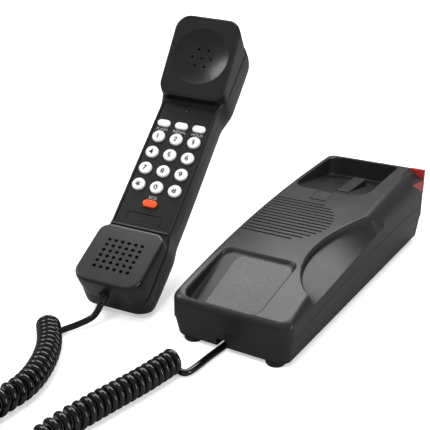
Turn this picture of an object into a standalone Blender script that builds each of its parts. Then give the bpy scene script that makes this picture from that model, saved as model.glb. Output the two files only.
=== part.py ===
"""A corded landline phone: a wedge-shaped base, a keypad handset standing beside it and the coiled cord.

Units are metres, +Z is up, the floor is z = 0, the base's front edge faces -Y and its ledge side +X.
Places below are measured from the middle of the base; the whole phone then moves so that its front left foot
stands on the origin.
"""

import math

import bmesh
import bpy
from mathutils import Euler, Matrix, Vector

MM = 0.001
GAP = 0.3 * MM  # clearance left between neighbouring pieces

ORIGIN = (-26 * MM, -100 * MM, 0)  # the front left foot's underside, measured from the middle of the base

# base body
BASE_HALF_WIDTH = 37 * MM
BASE_HALF_LENGTH = 107.5 * MM
FOOT_HEIGHT = 3 * MM
WALL = 2.4 * MM
TOP_FRONT, TOP_BACK, TOP_BOW, TOP_SKEW = 27.0 * MM, 53.6 * MM, 25.2 * MM, -4.9 * MM
SHOULDER_FRONT, SHOULDER_RISE, SHOULDER_BOW, SHOULDER_SKEW = 25.5 * MM, 10 * MM, 17.1 * MM, 18.7 * MM
PARTING_FRONT, PARTING_RISE, PARTING_BOW = 16 * MM, 11.3 * MM, 17.2 * MM
BAND_FRONT, BAND_RISE = 14.3 * MM, 4.7 * MM
SKIRT_TAPER = 2 * MM
FRONT_RADIUS, BACK_LEFT_RADIUS, BACK_RIGHT_RADIUS = 6 * MM, 5 * MM, 1.2 * MM
LEFT_ROUND, FRONT_ROUND, BACK_ROUND = 2.5 * MM, 3.6 * MM, 1.5 * MM
RIGHT_ROUND_FRONT, RIGHT_ROUND_GROWTH = 4 * MM, 9 * MM

# finger ledge along the right side
LEDGE_FRONT, LEDGE_BACK = -80 * MM, 27 * MM
LEDGE_DEPTH, LEDGE_SKEW, LEDGE_DROP = 19.5 * MM, 0.72, 4.75 * MM
LEDGE_FLARE = 2.2 * MM

# cradle hollows: left, right, front, back
POCKET = (-33.1 * MM, 18.1 * MM, 38.5 * MM, 104.5 * MM)
POCKET_RADII = (9 * MM, 14 * MM, 9 * MM, 2 * MM)
POCKET_FLOOR_BACK, POCKET_FLOOR_SLOPE = 38.5 * MM, -0.14
RECESS = (-31.1 * MM, 16.1 * MM, -104 * MM, -55 * MM)
RECESS_RADII = (6 * MM, 6 * MM, 6 * MM, 6 * MM)
RECESS_FLOOR_FRONT, RECESS_FLOOR_SLOPE = 17.9 * MM, 0.39
HOLLOW_FLOOR = 2.2 * MM
RIM_FLARE = 0.6 * MM

# ringer slots
SLOT_COUNT, SLOT_PITCH, SLOT_WIDTH = 14, 3.7 * MM, 1.25 * MM
SLOT_FIRST, SLOT_LEFT = -32.1 * MM, -34.2 * MM
SLOT_CENTRE, SLOT_REACH = (-12 * MM, -8 * MM), 27 * MM
SLOT_DEPTH = 3.6 * MM

# hook switch
HOOK = (-8.8 * MM, 0.6 * MM, 56 * MM, 89 * MM)
HOOK_TOP, HOOK_HEIGHT, HOOK_FRONT_SLOT = 45.7 * MM, 9.7 * MM, 2.4 * MM
SPRING_RADIUS, SPRING_WIRE, SPRING_TURNS, SPRING_POINTS = 2.6 * MM, 0.35 * MM, 5, 8
SPRING_FOOT = 22.5 * MM

# wall-hanging tab
TAB = (-13.6 * MM, -2.2 * MM, 23.2 * MM, 36.6 * MM)
TAB_THICK, TAB_FRONT_SLOT = 1.9 * MM, 1.3 * MM

# message lamp in the back right corner
LAMP_LEFT, LAMP_FRONT, LAMP_CAP_FRONT = 26.6 * MM, 90 * MM, 86.5 * MM
LAMP_FACE_FRONT = (33.7 * MM, 86.8 * MM)
LAMP_BOTTOM, LAMP_BOTTOM_SLOPE = 36 * MM, -0.56
LAMP_TOP, LAMP_FIN_FRONT = 53.4 * MM, 105.2 * MM
CAP_RISE = ((26.6 * MM, 52.7 * MM), (30 * MM, 51.2 * MM), (33.7 * MM, 47.9 * MM), (37 * MM, 47.5 * MM))
CAP_THICK, CAP_KNEE = 1.2 * MM, 33.2 * MM

# handset, in its own frame: X across, Y towards the ear end, Z out of the face
PARTING = -9 * MM
HANDLE_HALF, EAR_HALF, MOUTH_HALF = 20.3 * MM, 24.0 * MM, 22.2 * MM
EAR_END, MOUTH_END = 105 * MM, -98.5 * MM
EAR_CORNER, MOUTH_CORNER = 10 * MM, 9 * MM
EAR_BLEND, MOUTH_BLEND = (42 * MM, 60 * MM), (-46 * MM, -60 * MM)
PANEL = (-18.7 * MM, 18.7 * MM, -47.5 * MM, 46 * MM)
EAR_PAD = (-23.3 * MM, 23.3 * MM, 48.2 * MM, 103.55 * MM)
MOUTH_PAD = (-21.5 * MM, 21.5 * MM, -97.1 * MM, -51.8 * MM)
EAR_FACE_Y, EAR_FACE_Z, EAR_SLOPE = 75.6 * MM, 15.8 * MM, 0.32
MOUTH_FACE_Y, MOUTH_FACE_Z, MOUTH_SLOPE = -74.4 * MM, 14.4 * MM, -0.296
DISH_RADIUS, DISH_DEPTH = 19.4 * MM, 4 * MM
EAR_SKIN, MOUTH_SKIN, PANEL_SKIN, SHELL_WALL, HANDLE_WALL = 6.5 * MM, 2.5 * MM, 2 * MM, 2.2 * MM, 1.6 * MM
BACK_LINE = (
    (-98.5 * MM, -11 * MM), (-92 * MM, -20 * MM), (-65 * MM, -26 * MM), (-30 * MM, -29 * MM),
    (37 * MM, -27.5 * MM), (75 * MM, -25.5 * MM), (97 * MM, -21.5 * MM), (105 * MM, -13 * MM),
)  # lowest line of the back as (Y, Z)

# keys
KEY_PITCH_X, KEY_ROWS = 12.3 * MM, (18.5 * MM, 6.2 * MM, -6.2 * MM, -18.5 * MM)
KEY_NAMES = (("1", "2", "3"), ("4", "5", "6"), ("7", "8", "9"), ("star", "0", "hash"))
KEY_RADIUS, KEY_PROUD, KEY_DEPTH = 4.3 * MM, 1.5 * MM, 4.2 * MM
KEY_FLANGE, KEY_FLANGE_TOP, KEY_SIDES = 0.5 * MM, -2.8 * MM, 16
FUNCTION_NAMES, FUNCTION_Y = ("flash", "redial", "hold"), 29.1 * MM
FUNCTION_HALF, OVAL_FLANGE = (4.5 * MM, 2.6 * MM), 0.4 * MM
SOS_Y, SOS_HALF = -30.6 * MM, (4.8 * MM, 2.6 * MM)
NAME_PLATE = (-11 * MM, 11 * MM, -43.8 * MM, -38.2 * MM)

# holes in the handset face
MOUTH_HOLES, MOUTH_HOLE_PITCH, MOUTH_HOLE_RADIUS = 6, 4.25 * MM, 1.2 * MM
EAR_HOLES, EAR_HOLE_RING, EAR_HOLE_RADIUS, EAR_HOLE_TURN = 6, 6.6 * MM, 0.9 * MM, 0.2

# where the handset stands, and the line it swings about on its way to the cradle
HANDSET_PLACE = (-88.13 * MM, -34.31 * MM, 75.6 * MM)
HANDSET_TURN = (40.28, 4.84, 11.36)
HINGE_PLACE = (-47.45 * MM, -32.3 * MM, 66.55 * MM)

# cord
CORD_RADIUS, COIL_RADIUS, COIL_PITCH = 1.9 * MM, 5.1 * MM, 5.95 * MM
COIL_POINTS, COIL_HEIGHT = 8, 7.7 * MM
COIL_PATH = (
    (-15, -136), (-18, -160), (-23, -186), (-27, -210), (-28, -232), (-33.4, -245.1), (-46.5, -250.5),
    (-59.6, -245.1), (-65, -232), (-65, -212), (-65, -194), (-71, -176), (-82, -158), (-98, -141),
)  # middle of the coil over the floor, from the base's lead to the handset's, in millimetres
BASE_LEAD = ((-4.6, -80.2, 9), (-4.6, -86, 7), (-4.6, -92, 3.4), (-4.6, -101, 2.5), (-5.5, -115, 2.5))
HANDSET_SOCKET, LEAD_BEND, LEAD_GAP = (-3 * MM, -95.6 * MM, 5 * MM), 9 * MM, 1.2 * MM
TUNNEL = (-7.8 * MM, -1.4 * MM, -112 * MM, -79.6 * MM)
TUNNEL_TOP = 8 * MM


def new_collection(name):
    collection = bpy.data.collections.new(name)
    bpy.context.scene.collection.children.link(collection)
    return collection


def clear_scene():
    for item in list(bpy.data.objects):
        bpy.data.objects.remove(item, do_unlink=True)


def material(name, colour, roughness, metallic=0.0):
    made = bpy.data.materials.new(name)
    made.use_nodes = True
    shader = made.node_tree.nodes["Principled BSDF"]
    shader.inputs["Base Color"].default_value = (*colour, 1.0)
    shader.inputs["Roughness"].default_value = roughness
    shader.inputs["Metallic"].default_value = metallic
    return made


clear_scene()
PARTS = new_collection("corded_phone")
CUTTERS = new_collection("cutters")
ROOT = bpy.data.objects.new("phone_origin", None)
ROOT.location = [-c for c in ORIGIN]
PARTS.objects.link(ROOT)
CHARCOAL, BLACK, OFF_WHITE = (0.06, 0.06, 0.062), (0.012, 0.012, 0.013), (0.75, 0.74, 0.7)
ORANGE, RED, GREEN, STEEL = (0.85, 0.12, 0.03), (0.5, 0.02, 0.02), (0.02, 0.16, 0.05), (0.6, 0.6, 0.6)


# ---------------------------------------------------------------- making pieces


def finish(name, bm, colour=None, parent=None, place=(0, 0, 0), turn=(0, 0, 0), roughness=0.5, metallic=0.0):
    """Turn a bmesh into a named piece, or into a cutter when no colour is given."""
    bmesh.ops.recalc_face_normals(bm, faces=bm.faces)
    for face in bm.faces:
        face.smooth = True
    mesh = bpy.data.meshes.new(name)
    bm.to_mesh(mesh)
    bm.free()
    mesh.set_sharp_from_angle(angle=math.radians(38))
    piece = bpy.data.objects.new(name, mesh)
    piece.location, piece.rotation_euler = place, [math.radians(a) for a in turn]
    piece.parent = parent or ROOT
    if colour is None:
        piece.hide_render, piece.display_type = True, "WIRE"
        CUTTERS.objects.link(piece)
    else:
        mesh.materials.append(material(name, colour, roughness, metallic))
        PARTS.objects.link(piece)
    return piece


def combine(piece, other, operation="DIFFERENCE"):
    step = piece.modifiers.new(other.name, "BOOLEAN")
    step.object, step.operation, step.solver = other, operation, "EXACT"


def box(x0, x1, y0, y1, z0, z1):
    bm = bmesh.new()
    bmesh.ops.create_cube(bm, size=1.0)
    centre = Vector((x0 + x1, y0 + y1, z0 + z1)) / 2
    size = Vector((x1 - x0, y1 - y0, z1 - z0))
    bmesh.ops.transform(bm, verts=bm.verts, matrix=Matrix.Translation(centre) @ Matrix.Diagonal((*size, 1)))
    return bm


def rounded_box(x0, x1, y0, y1, z0, z1, bevel):
    bm = box(x0, x1, y0, y1, z0, z1)
    bmesh.ops.bevel(bm, geom=bm.edges[:], offset=bevel, segments=2, profile=0.5, affect="EDGES")
    return bm


def lathe(profile, segments=20):
    """Spin a (radius, z) profile that starts and ends on the axis."""
    bm = bmesh.new()
    verts = [bm.verts.new((radius, 0, z)) for radius, z in profile]
    edges = [bm.edges.new(pair) for pair in zip(verts, verts[1:])]
    bmesh.ops.spin(bm, geom=verts + edges, cent=(0, 0, 0), axis=(0, 0, 1), angle=math.tau,
                   steps=segments, use_merge=True)
    bmesh.ops.remove_doubles(bm, verts=bm.verts, dist=1e-7)
    return bm


def cylinder(radius, z0, z1, segments=20):
    return lathe(((0, z0), (radius, z0), (radius, z1), (0, z1)), segments)


def stepped_hole(head, shank, z0, z1, z2):
    return lathe(((0, z0), (head, z0), (head, z1), (shank, z1), (shank, z2), (0, z2)), 12)


def merged(parts):
    """Join several separate bmeshes into one."""
    bm = bmesh.new()
    for part in parts:
        mesh = bpy.data.meshes.new("joined")
        part.to_mesh(mesh)
        part.free()
        bm.from_mesh(mesh)
        bpy.data.meshes.remove(mesh)
    return bm


def outline(bounds, radii, side_steps, corner_steps=4):
    """Pairs of (x right, x left, y) points of a rounded rectangle, front to back."""
    x0, x1, y0, y1 = bounds
    front_left, front_right, back_left, back_right = radii
    right, left = [], []
    for points, x, sign, front, back in ((right, x1, 1, front_right, back_right),
                                         (left, x0, -1, front_left, back_left)):
        for i in range(corner_steps + 1):
            a = math.pi / 2 * i / corner_steps
            points.append((x - sign * front * (1 - math.sin(a)), y0 + front * (1 - math.cos(a))))
        for i in range(1, side_steps):
            points.append((x, y0 + front + (y1 - y0 - front - back) * i / side_steps))
        for i in range(corner_steps + 1):
            a = math.pi / 2 * i / corner_steps
            points.append((x - sign * back * (1 - math.cos(a)), y1 - back * (1 - math.sin(a))))
    return right, left


def ring(sides, height):
    """One closed ring of points: up the right side, back down the left."""
    right, left = sides
    return [(x, y, height(x, y)) for x, y in right] + [(x, y, height(x, y)) for x, y in reversed(left)]


def loft(rings):
    """Skin rings listed from the bottom up, and close both ends with strips across."""
    bm = bmesh.new()
    rows = [[bm.verts.new(p) for p in points] for points in rings]
    count = len(rows[0])
    for low, high in zip(rows, rows[1:]):
        for i in range(count):
            j = (i + 1) % count
            bm.faces.new((low[i], low[j], high[j], high[i]))
    for row, flip in ((rows[0], True), (rows[-1], False)):
        for i in range(count // 2 - 1):
            face = (row[i], row[i + 1], row[count - 2 - i], row[count - 1 - i])
            bm.faces.new(reversed(face) if flip else face)
    bmesh.ops.remove_doubles(bm, verts=bm.verts, dist=1e-7)
    bmesh.ops.triangulate(bm, faces=bm.faces)
    return bm


def shrink(sides, left, right, front, back):
    """Move an outline's four sides in, keeping its corners in proportion."""
    every = sides[0] + sides[1]
    y0, y1 = min(y for _, y in every), max(y for _, y in every)
    x0, x1 = min(x for x, _ in every), max(x for x, _ in every)

    def moved(x, y):
        share_x, share_y = (x - x0) / (x1 - x0), (y - y0) / (y1 - y0)
        inset = right(y) if callable(right) else right
        return x + left * (1 - share_x) - inset * share_x, y + front * (1 - share_y) - back * share_y

    return [moved(*p) for p in sides[0]], [moved(*p) for p in sides[1]]


def prism(bounds, radii, low, high, side_steps=6, flare=0.0, flare_from=None):
    """A rounded-rectangle body between two height functions, with an optional flared top."""
    sides = outline(bounds, radii, side_steps)
    rings = [ring(sides, low)]
    if flare:
        rings.append(ring(sides, lambda x, y: flare_from(x, y) - flare))
        wide = shrink(sides, -flare, -flare, -flare, -flare)
        rings.append(ring(wide, lambda x, y: flare_from(x, y) + flare * 0.2))
        sides = wide
    rings.append(ring(sides, high))
    return loft(rings)


def hermite(points, y):
    """Smooth curve through (y, value) points."""
    y = min(max(y, points[0][0]), points[-1][0])
    i = max(k for k in range(len(points) - 1) if points[k][0] <= y)
    (y0, v0), (y1, v1) = points[i], points[i + 1]
    before, after = points[max(i - 1, 0)], points[min(i + 2, len(points) - 1)]
    slope0, slope1 = (v1 - before[1]) / (y1 - before[0]), (after[1] - v0) / (after[0] - y0)
    t, span = (y - y0) / (y1 - y0), y1 - y0
    return (v0 * (1 + 2 * t) * (1 - t) ** 2 + v1 * t * t * (3 - 2 * t)
            + span * (slope0 * t * (1 - t) ** 2 - slope1 * t * t * (1 - t)))


def smooth_step(y, start, end):
    t = min(max((y - start) / (end - start), 0.0), 1.0)
    return t * t * (3 - 2 * t)


# ---------------------------------------------------------------- base shape


def along(y):
    return (y + BASE_HALF_LENGTH) / (2 * BASE_HALF_LENGTH)


def bowed(y, start, rise, bow, skew=0.0):
    s = along(y)
    return start + rise * s + bow * s * (1 - s) + skew * s * (1 - s) * (2 * s - 1)


def top_height(y):
    return bowed(y, TOP_FRONT, TOP_BACK - TOP_FRONT, TOP_BOW, TOP_SKEW)


def shoulder_height(y):
    return bowed(y, SHOULDER_FRONT, SHOULDER_RISE, SHOULDER_BOW, SHOULDER_SKEW)


def parting_height(y):
    return bowed(y, PARTING_FRONT, PARTING_RISE, PARTING_BOW)


def right_round(y):
    return RIGHT_ROUND_FRONT + RIGHT_ROUND_GROWTH * along(y)


def base_outline(inset):
    radii = [max(r - inset, 0.4 * MM) for r in (FRONT_RADIUS, FRONT_RADIUS, BACK_LEFT_RADIUS,
                                                BACK_RIGHT_RADIUS)]
    bounds = (inset - BASE_HALF_WIDTH, BASE_HALF_WIDTH - inset, inset - BASE_HALF_LENGTH,
              BASE_HALF_LENGTH - inset)
    return outline(bounds, radii, 16)


def edge_weights(sides, count):
    """How far each ring point belongs to a side wall (1) or an end wall (0)."""
    right, left = sides
    weights = []
    for i in range(len(right)):
        corner = min(i, len(right) - 1 - i) / 4
        weights.append(min(corner, 1.0) ** 2 * (3 - 2 * min(corner, 1.0)))
    return (weights + weights[::-1])[:count]


def upper_body(inset, lower, bottom, round_steps=6):
    """The top shell's outside, or the same form drawn in by inset and lowered for its hollow."""
    sides = base_outline(inset)
    weights = edge_weights(sides, 2 * len(sides[0]))
    rings = [ring(sides, bottom)]
    for step in range(round_steps):
        a = math.pi / 2 * step / (round_steps - 1)
        across, down = 1 - math.cos(a), 1 - math.sin(a)
        drawn = shrink(sides, LEFT_ROUND * across, lambda y, k=across: right_round(y) * k,
                       FRONT_ROUND * across, BACK_ROUND * across)
        points = []
        for (x, y, _), weight in zip(ring(drawn, lambda x, y: 0), weights):
            side_drop = top_height(y) - shoulder_height(y) if x > 0 else LEFT_ROUND
            end_drop = FRONT_ROUND if y < 0 else BACK_ROUND
            drop = (weight * side_drop + (1 - weight) * end_drop) * down
            points.append((x, y, top_height(y) - lower - drop))
        rings.append(points)
    return loft(rings)


def ledge_depth(y):
    share = (y - LEDGE_FRONT) / (LEDGE_BACK - LEDGE_FRONT)
    return LEDGE_DEPTH * math.sin(math.pi * share ** LEDGE_SKEW)


def ledge_body(grow, lower):
    """The finger ledge's removed volume, or a larger copy of it that keeps wall under the ledge."""
    steps, beyond = 15, BASE_HALF_WIDTH + 3 * MM
    levels = ((0, None), (0, -2.0 * MM), (0.35 * MM, -0.9 * MM), (1.0 * MM, -0.3 * MM),
              (LEDGE_FLARE, 0.15 * MM))
    rings = []
    for out, from_top in levels:
        right, left = [], []
        for i in range(steps + 1):
            y = LEDGE_FRONT + (LEDGE_BACK - LEDGE_FRONT) * (0.001 + 0.998 * i / steps)
            depth = ledge_depth(y)
            flare = (out + grow) * min(1.0, depth / (4 * MM) + 0.15)
            left.append((BASE_HALF_WIDTH - depth - flare, y))
            right.append((beyond, y))

        def height(x, y, from_top=from_top):
            depth = max(ledge_depth(y), 3 * MM)
            inner = top_height(y) - LEDGE_DROP
            if from_top is not None:
                return top_height(y) + from_top
            slope = (shoulder_height(y) - inner) / depth
            return inner + slope * (x - BASE_HALF_WIDTH + depth) - lower

        rings.append(ring((right, left), height))
    top = [(x, y, top_height(y) + 4 * MM) for x, y, _ in rings[-1]]
    return loft(rings + [top])


def pocket_floor(x, y):
    return POCKET_FLOOR_BACK + (y - POCKET[3]) * POCKET_FLOOR_SLOPE


def recess_floor(x, y):
    return RECESS_FLOOR_FRONT + (y - RECESS[2]) * RECESS_FLOOR_SLOPE


def grown(bounds, by):
    return bounds[0] - by, bounds[1] + by, bounds[2] - by, bounds[3] + by


def above(x, y):
    return top_height(y) + 8 * MM


def lamp_bottom(x, y):
    return LAMP_BOTTOM + (y - BASE_HALF_LENGTH) * LAMP_BOTTOM_SLOPE


def cap_top(x, y):
    for (x0, z0), (x1, z1) in zip(CAP_RISE, CAP_RISE[1:]):
        if x <= x1:
            return z0 + (z1 - z0) * (x - x0) / (x1 - x0)
    return CAP_RISE[-1][1]


def lamp_face_x(y):
    share = (y - LAMP_FACE_FRONT[1]) / (BASE_HALF_LENGTH - LAMP_FACE_FRONT[1])
    return LAMP_FACE_FRONT[0] + (BASE_HALF_WIDTH - LAMP_FACE_FRONT[0]) * share


def cross_slabs(y0, y1, x_at, low, high):
    """A body swept front to back whose section follows x positions across it."""
    bm = bmesh.new()
    ends = []
    for y in (y0, y1):
        xs = x_at(y)
        ends.append([bm.verts.new((x, y, high(x, y))) for x in xs]
                    + [bm.verts.new((x, y, low(x, y))) for x in reversed(xs)])
    front, back = ends
    count = len(front)
    bm.faces.new(front)
    bm.faces.new(reversed(back))
    for i in range(count):
        j = (i + 1) % count
        bm.faces.new((front[j], front[i], back[i], back[j]))
    bmesh.ops.triangulate(bm, faces=bm.faces)
    return bm


def cap_sections(grow, beyond):
    """Positions across the lamp cap, out to its slanting face."""
    def at(y):
        return [LAMP_LEFT - grow, CAP_RISE[1][0], CAP_KNEE, lamp_face_x(y) + beyond]
    return at


# ---------------------------------------------------------------- base pieces


def kept_inside():
    """Solid blocks that keep walls round every hollow when the top shell is emptied."""
    pocket = finish("keep_pocket", prism(grown(POCKET, 2 * MM), (9 * MM,) * 4,
                                         lambda x, y: pocket_floor(x, y) - HOLLOW_FLOOR, above))
    recess_bounds = (RECESS[0] - 2 * MM, RECESS[1] + 2 * MM, RECESS[2] - 8 * MM, RECESS[3] + 2 * MM)
    recess = finish("keep_recess", prism(recess_bounds, (6 * MM,) * 4,
                                         lambda x, y: recess_floor(x, y) - HOLLOW_FLOOR, above))
    tab = finish("keep_tab", box(TAB[0] - 2 * MM, TAB[1] + 2 * MM, TAB[2] - 3.5 * MM, TAB[3] + 1.7 * MM,
                                 43.5 * MM, 60 * MM))
    lamp = finish("keep_lamp", box(LAMP_LEFT - 2.5 * MM, 40 * MM, LAMP_CAP_FRONT - 2.5 * MM, 110 * MM,
                                   31 * MM, 60 * MM))
    ledge = finish("keep_ledge", ledge_body(2.3 * MM, 2.3 * MM))
    return pocket, recess, tab, lamp, ledge


def top_shell():
    shell = finish("base_top_shell", upper_body(0.0, 0.0, lambda x, y: parting_height(y) + GAP / 2), CHARCOAL)
    hollow = finish("top_hollow", upper_body(WALL, WALL, lambda x, y: parting_height(y) - 2 * MM, 3))
    for block in kept_inside():
        combine(hollow, block)
    cutters = (
        hollow,
        finish("cut_ledge", ledge_body(0.0, 0.0)),
        finish("cut_pocket", prism(POCKET, POCKET_RADII, pocket_floor, above, 8, RIM_FLARE,
                                   lambda x, y: top_height(y))),
        finish("cut_recess", prism(RECESS, RECESS_RADII, recess_floor, above, 8, RIM_FLARE,
                                   lambda x, y: top_height(y))),
        finish("cut_slots", merged(slot_boxes())),
        finish("cut_hook", box(HOOK[0] - GAP, HOOK[1] + GAP, HOOK[2] - HOOK_FRONT_SLOT, HOOK[3] + GAP,
                               30 * MM, 52 * MM)),
        finish("cut_tab", box(TAB[0] - GAP, TAB[1] + GAP, TAB[2] - TAB_FRONT_SLOT, TAB[3] + GAP,
                              top_height(TAB[2]) - TAB_THICK - GAP, 60 * MM)),
        finish("cut_lamp_cap", cross_slabs(
            LAMP_CAP_FRONT - GAP, 109 * MM,
            lambda y: [LAMP_LEFT - GAP, *[x for x, _ in CAP_RISE[1:3]], 39 * MM],
            lambda x, y: cap_top(max(x, LAMP_LEFT), y) - CAP_THICK - GAP, lambda x, y: 60 * MM)),
        finish("cut_lamp", cross_slabs(LAMP_FRONT - GAP, 109 * MM, lambda y: [LAMP_LEFT - GAP, 39 * MM],
                                       lambda x, y: lamp_bottom(x, y) - GAP, lambda x, y: 58 * MM)),
        finish("cut_volume", box(-17 * MM, -3 * MM, 100 * MM, 110 * MM, 31 * MM, 34.2 * MM)),
    )
    for cutter in cutters:
        combine(shell, cutter)


def slot_boxes():
    boxes = []
    for i in range(SLOT_COUNT):
        y = SLOT_FIRST + SLOT_PITCH * i
        right = SLOT_CENTRE[0] + math.sqrt(SLOT_REACH ** 2 - (y - SLOT_CENTRE[1]) ** 2)
        top = top_height(y)
        boxes.append(box(SLOT_LEFT, right, y - SLOT_WIDTH / 2, y + SLOT_WIDTH / 2, top - SLOT_DEPTH,
                         top + 2 * MM))
    return boxes


def bottom_shell():
    sides = base_outline(0.0)
    low = shrink(sides, SKIRT_TAPER, SKIRT_TAPER, SKIRT_TAPER, SKIRT_TAPER)
    outer = loft([
        ring(low, lambda x, y: FOOT_HEIGHT),
        ring(sides, lambda x, y: BAND_FRONT + BAND_RISE * along(y)),
        ring(sides, lambda x, y: parting_height(y) - GAP / 2),
    ])
    shell = finish("base_bottom_shell", outer, CHARCOAL)
    inner = base_outline(WALL)
    inner_low = shrink(inner, SKIRT_TAPER, SKIRT_TAPER, SKIRT_TAPER, SKIRT_TAPER)
    hollow = loft([
        ring(inner_low, lambda x, y: FOOT_HEIGHT + WALL),
        ring(inner, lambda x, y: BAND_FRONT + BAND_RISE * along(y)),
        ring(inner, lambda x, y: parting_height(y) + 2 * MM),
    ])
    combine(shell, finish("bottom_hollow", hollow))
    combine(shell, finish("cut_tunnel", box(*TUNNEL, 2 * MM, TUNNEL_TOP)))
    combine(shell, finish("cut_line_jack", box(9.7 * MM, 22.3 * MM, 100 * MM, 110 * MM, 7.7 * MM, 17.3 * MM)))
    for i, (x, y) in enumerate(screw_places()):
        combine(shell, finish(f"cut_screw_{i}", stepped_hole(3.3 * MM, 1.8 * MM, 2 * MM, 4.3 * MM, 7 * MM),
                              place=(x, y, 0)))


def screw_places():
    return [(x * MM, y * MM) for x in (-27, 27) for y in (-84, 84)]


def base_small_pieces():
    for i, (x, y) in enumerate(screw_places()):
        profile = ((0, 0), (2.9, 0), (2.9, 1), (1.5, 1.1), (1.5, 9), (0, 10))
        finish(f"base_screw_{i + 1}", lathe([(r * MM, z * MM) for r, z in profile], 12), STEEL,
               place=(x, y, 3.1 * MM), roughness=0.3, metallic=1.0)
    for i, (x, y) in enumerate([(x * MM, y * MM) for x in (-26, 26) for y in (-100, 98)]):
        profile = ((0, 0), (5, 0), (5.5, 0.6), (5.5, 2.7), (0, 2.7))
        finish(f"foot_{i + 1}", lathe([(r * MM, z * MM) for r, z in profile], 16), BLACK, place=(x, y, 0),
               roughness=0.9)
    finish("ringer_speaker", lathe([(r * MM, z * MM) for r,
                                    z in ((0, 0), (9, 0), (9, 4), (17, 6), (17, 9), (0, 9))], 28),
           BLACK, place=(-10 * MM, -10 * MM, 26 * MM))
    finish("base_circuit_board", box(-31 * MM, 24 * MM, -48 * MM, 30 * MM, 16 * MM, 17.6 * MM), GREEN)
    finish("ballast_plate", box(-22 * MM, 22 * MM, -40 * MM, 70 * MM, 6 * MM, 8.5 * MM), STEEL, metallic=1.0)
    finish("line_jack", box(10 * MM, 22 * MM, 94 * MM, 107.3 * MM, 8 * MM, 17 * MM), BLACK)
    finish("base_handset_jack", box(-11 * MM, 1.8 * MM, -67.7 * MM, -54 * MM, 5.8 * MM, 14 * MM), BLACK)
    finish("base_cord_plug", rounded_box(-9.6 * MM, 0.4 * MM, -79.2 * MM, -68 * MM, 6 * MM, 12.4 * MM,
                                         0.8 * MM), BLACK)
    finish("volume_knob", rounded_box(-2.6 * MM, 2.6 * MM, -5 * MM, 1.4 * MM, -1.3 * MM, 1.3 * MM,
                                      0.3 * MM), BLACK,
           place=(-10 * MM, BASE_HALF_LENGTH, 32.6 * MM))
    finish("message_led", lathe([(r * MM, z * MM) for r, z in ((0, 0), (1.5, 0), (1.5, 3), (0.9, 4.2),
                                                               (0, 4.6))], 14), RED,
           place=(29 * MM, 97 * MM, 24 * MM))


def lamp_pieces():
    body = cross_slabs(LAMP_FRONT, BASE_HALF_LENGTH, cap_sections(0.0, 0.0), lamp_bottom,
                       lambda x, y: cap_top(x, y) - CAP_THICK - GAP)
    lens = finish("message_lamp_lens", body, RED, roughness=0.15)
    fin = box(LAMP_LEFT, BASE_HALF_WIDTH, LAMP_FIN_FRONT, BASE_HALF_LENGTH, 43 * MM, LAMP_TOP)
    combine(lens, finish("lamp_fin", fin), "UNION")
    finish("lamp_cap", cross_slabs(LAMP_CAP_FRONT, LAMP_FIN_FRONT - GAP, cap_sections(0.0, 0.0),
                                   lambda x, y: cap_top(x, y) - CAP_THICK, cap_top), CHARCOAL)


def hook_pieces():
    x0, x1, y0, y1 = HOOK
    bar = rounded_box(x0, x1, y0, y1, HOOK_TOP - HOOK_HEIGHT, HOOK_TOP, 0.6 * MM)
    bmesh.ops.translate(bar, verts=bar.verts, vec=(0, 0, -HOOK_TOP))
    finish("hook_switch_bar", bar, CHARCOAL, place=(0, 0, HOOK_TOP))
    top = HOOK_TOP - HOOK_HEIGHT - 0.5 * MM
    points = []
    for i in range(SPRING_TURNS * SPRING_POINTS + 1):
        a = math.tau * i / SPRING_POINTS
        rise = SPRING_FOOT + (top - SPRING_WIRE - SPRING_FOOT) * i / (SPRING_TURNS * SPRING_POINTS)
        points.append((-4.1 * MM + SPRING_RADIUS * math.cos(a), 70 * MM + SPRING_RADIUS * math.sin(a), rise))
    tube("hook_return_spring", points, SPRING_WIRE, STEEL, resolution=1, metallic=1.0)
    finish("hook_microswitch", box(-12 * MM, 4 * MM, 60 * MM, 86 * MM, 16 * MM, 21.5 * MM), BLACK)
    tab = prism(TAB, (0.8 * MM,) * 4, lambda x, y: top_height(TAB[2]) - TAB_THICK,
                lambda x, y: top_height(y) - 0.1 * MM, 4)
    finish("wall_hook_tab", tab, CHARCOAL)


# ---------------------------------------------------------------- cord


def tube(name, points, radius, colour, parent=None, resolution=2, metallic=0.0):
    """A round wire along a chain of points, closed at both ends."""
    curve = bpy.data.curves.new(name, "CURVE")
    curve.dimensions, curve.bevel_depth, curve.bevel_resolution = "3D", radius, resolution
    curve.use_fill_caps, curve.render_resolution_u = True, 0
    spline = curve.splines.new("POLY")
    spline.points.add(len(points) - 1)
    for point, place in zip(spline.points, points):
        point.co = (*place, 1.0)
    holder = bpy.data.objects.new(name + "_path", curve)
    bpy.context.scene.collection.objects.link(holder)
    mesh = bpy.data.meshes.new_from_object(holder.evaluated_get(bpy.context.evaluated_depsgraph_get()))
    bpy.data.objects.remove(holder, do_unlink=True)
    bm = bmesh.new()
    bm.from_mesh(mesh)
    bpy.data.meshes.remove(mesh)
    bmesh.ops.remove_doubles(bm, verts=bm.verts, dist=1e-7)
    return finish(name, bm, colour, parent, metallic=metallic)


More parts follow.
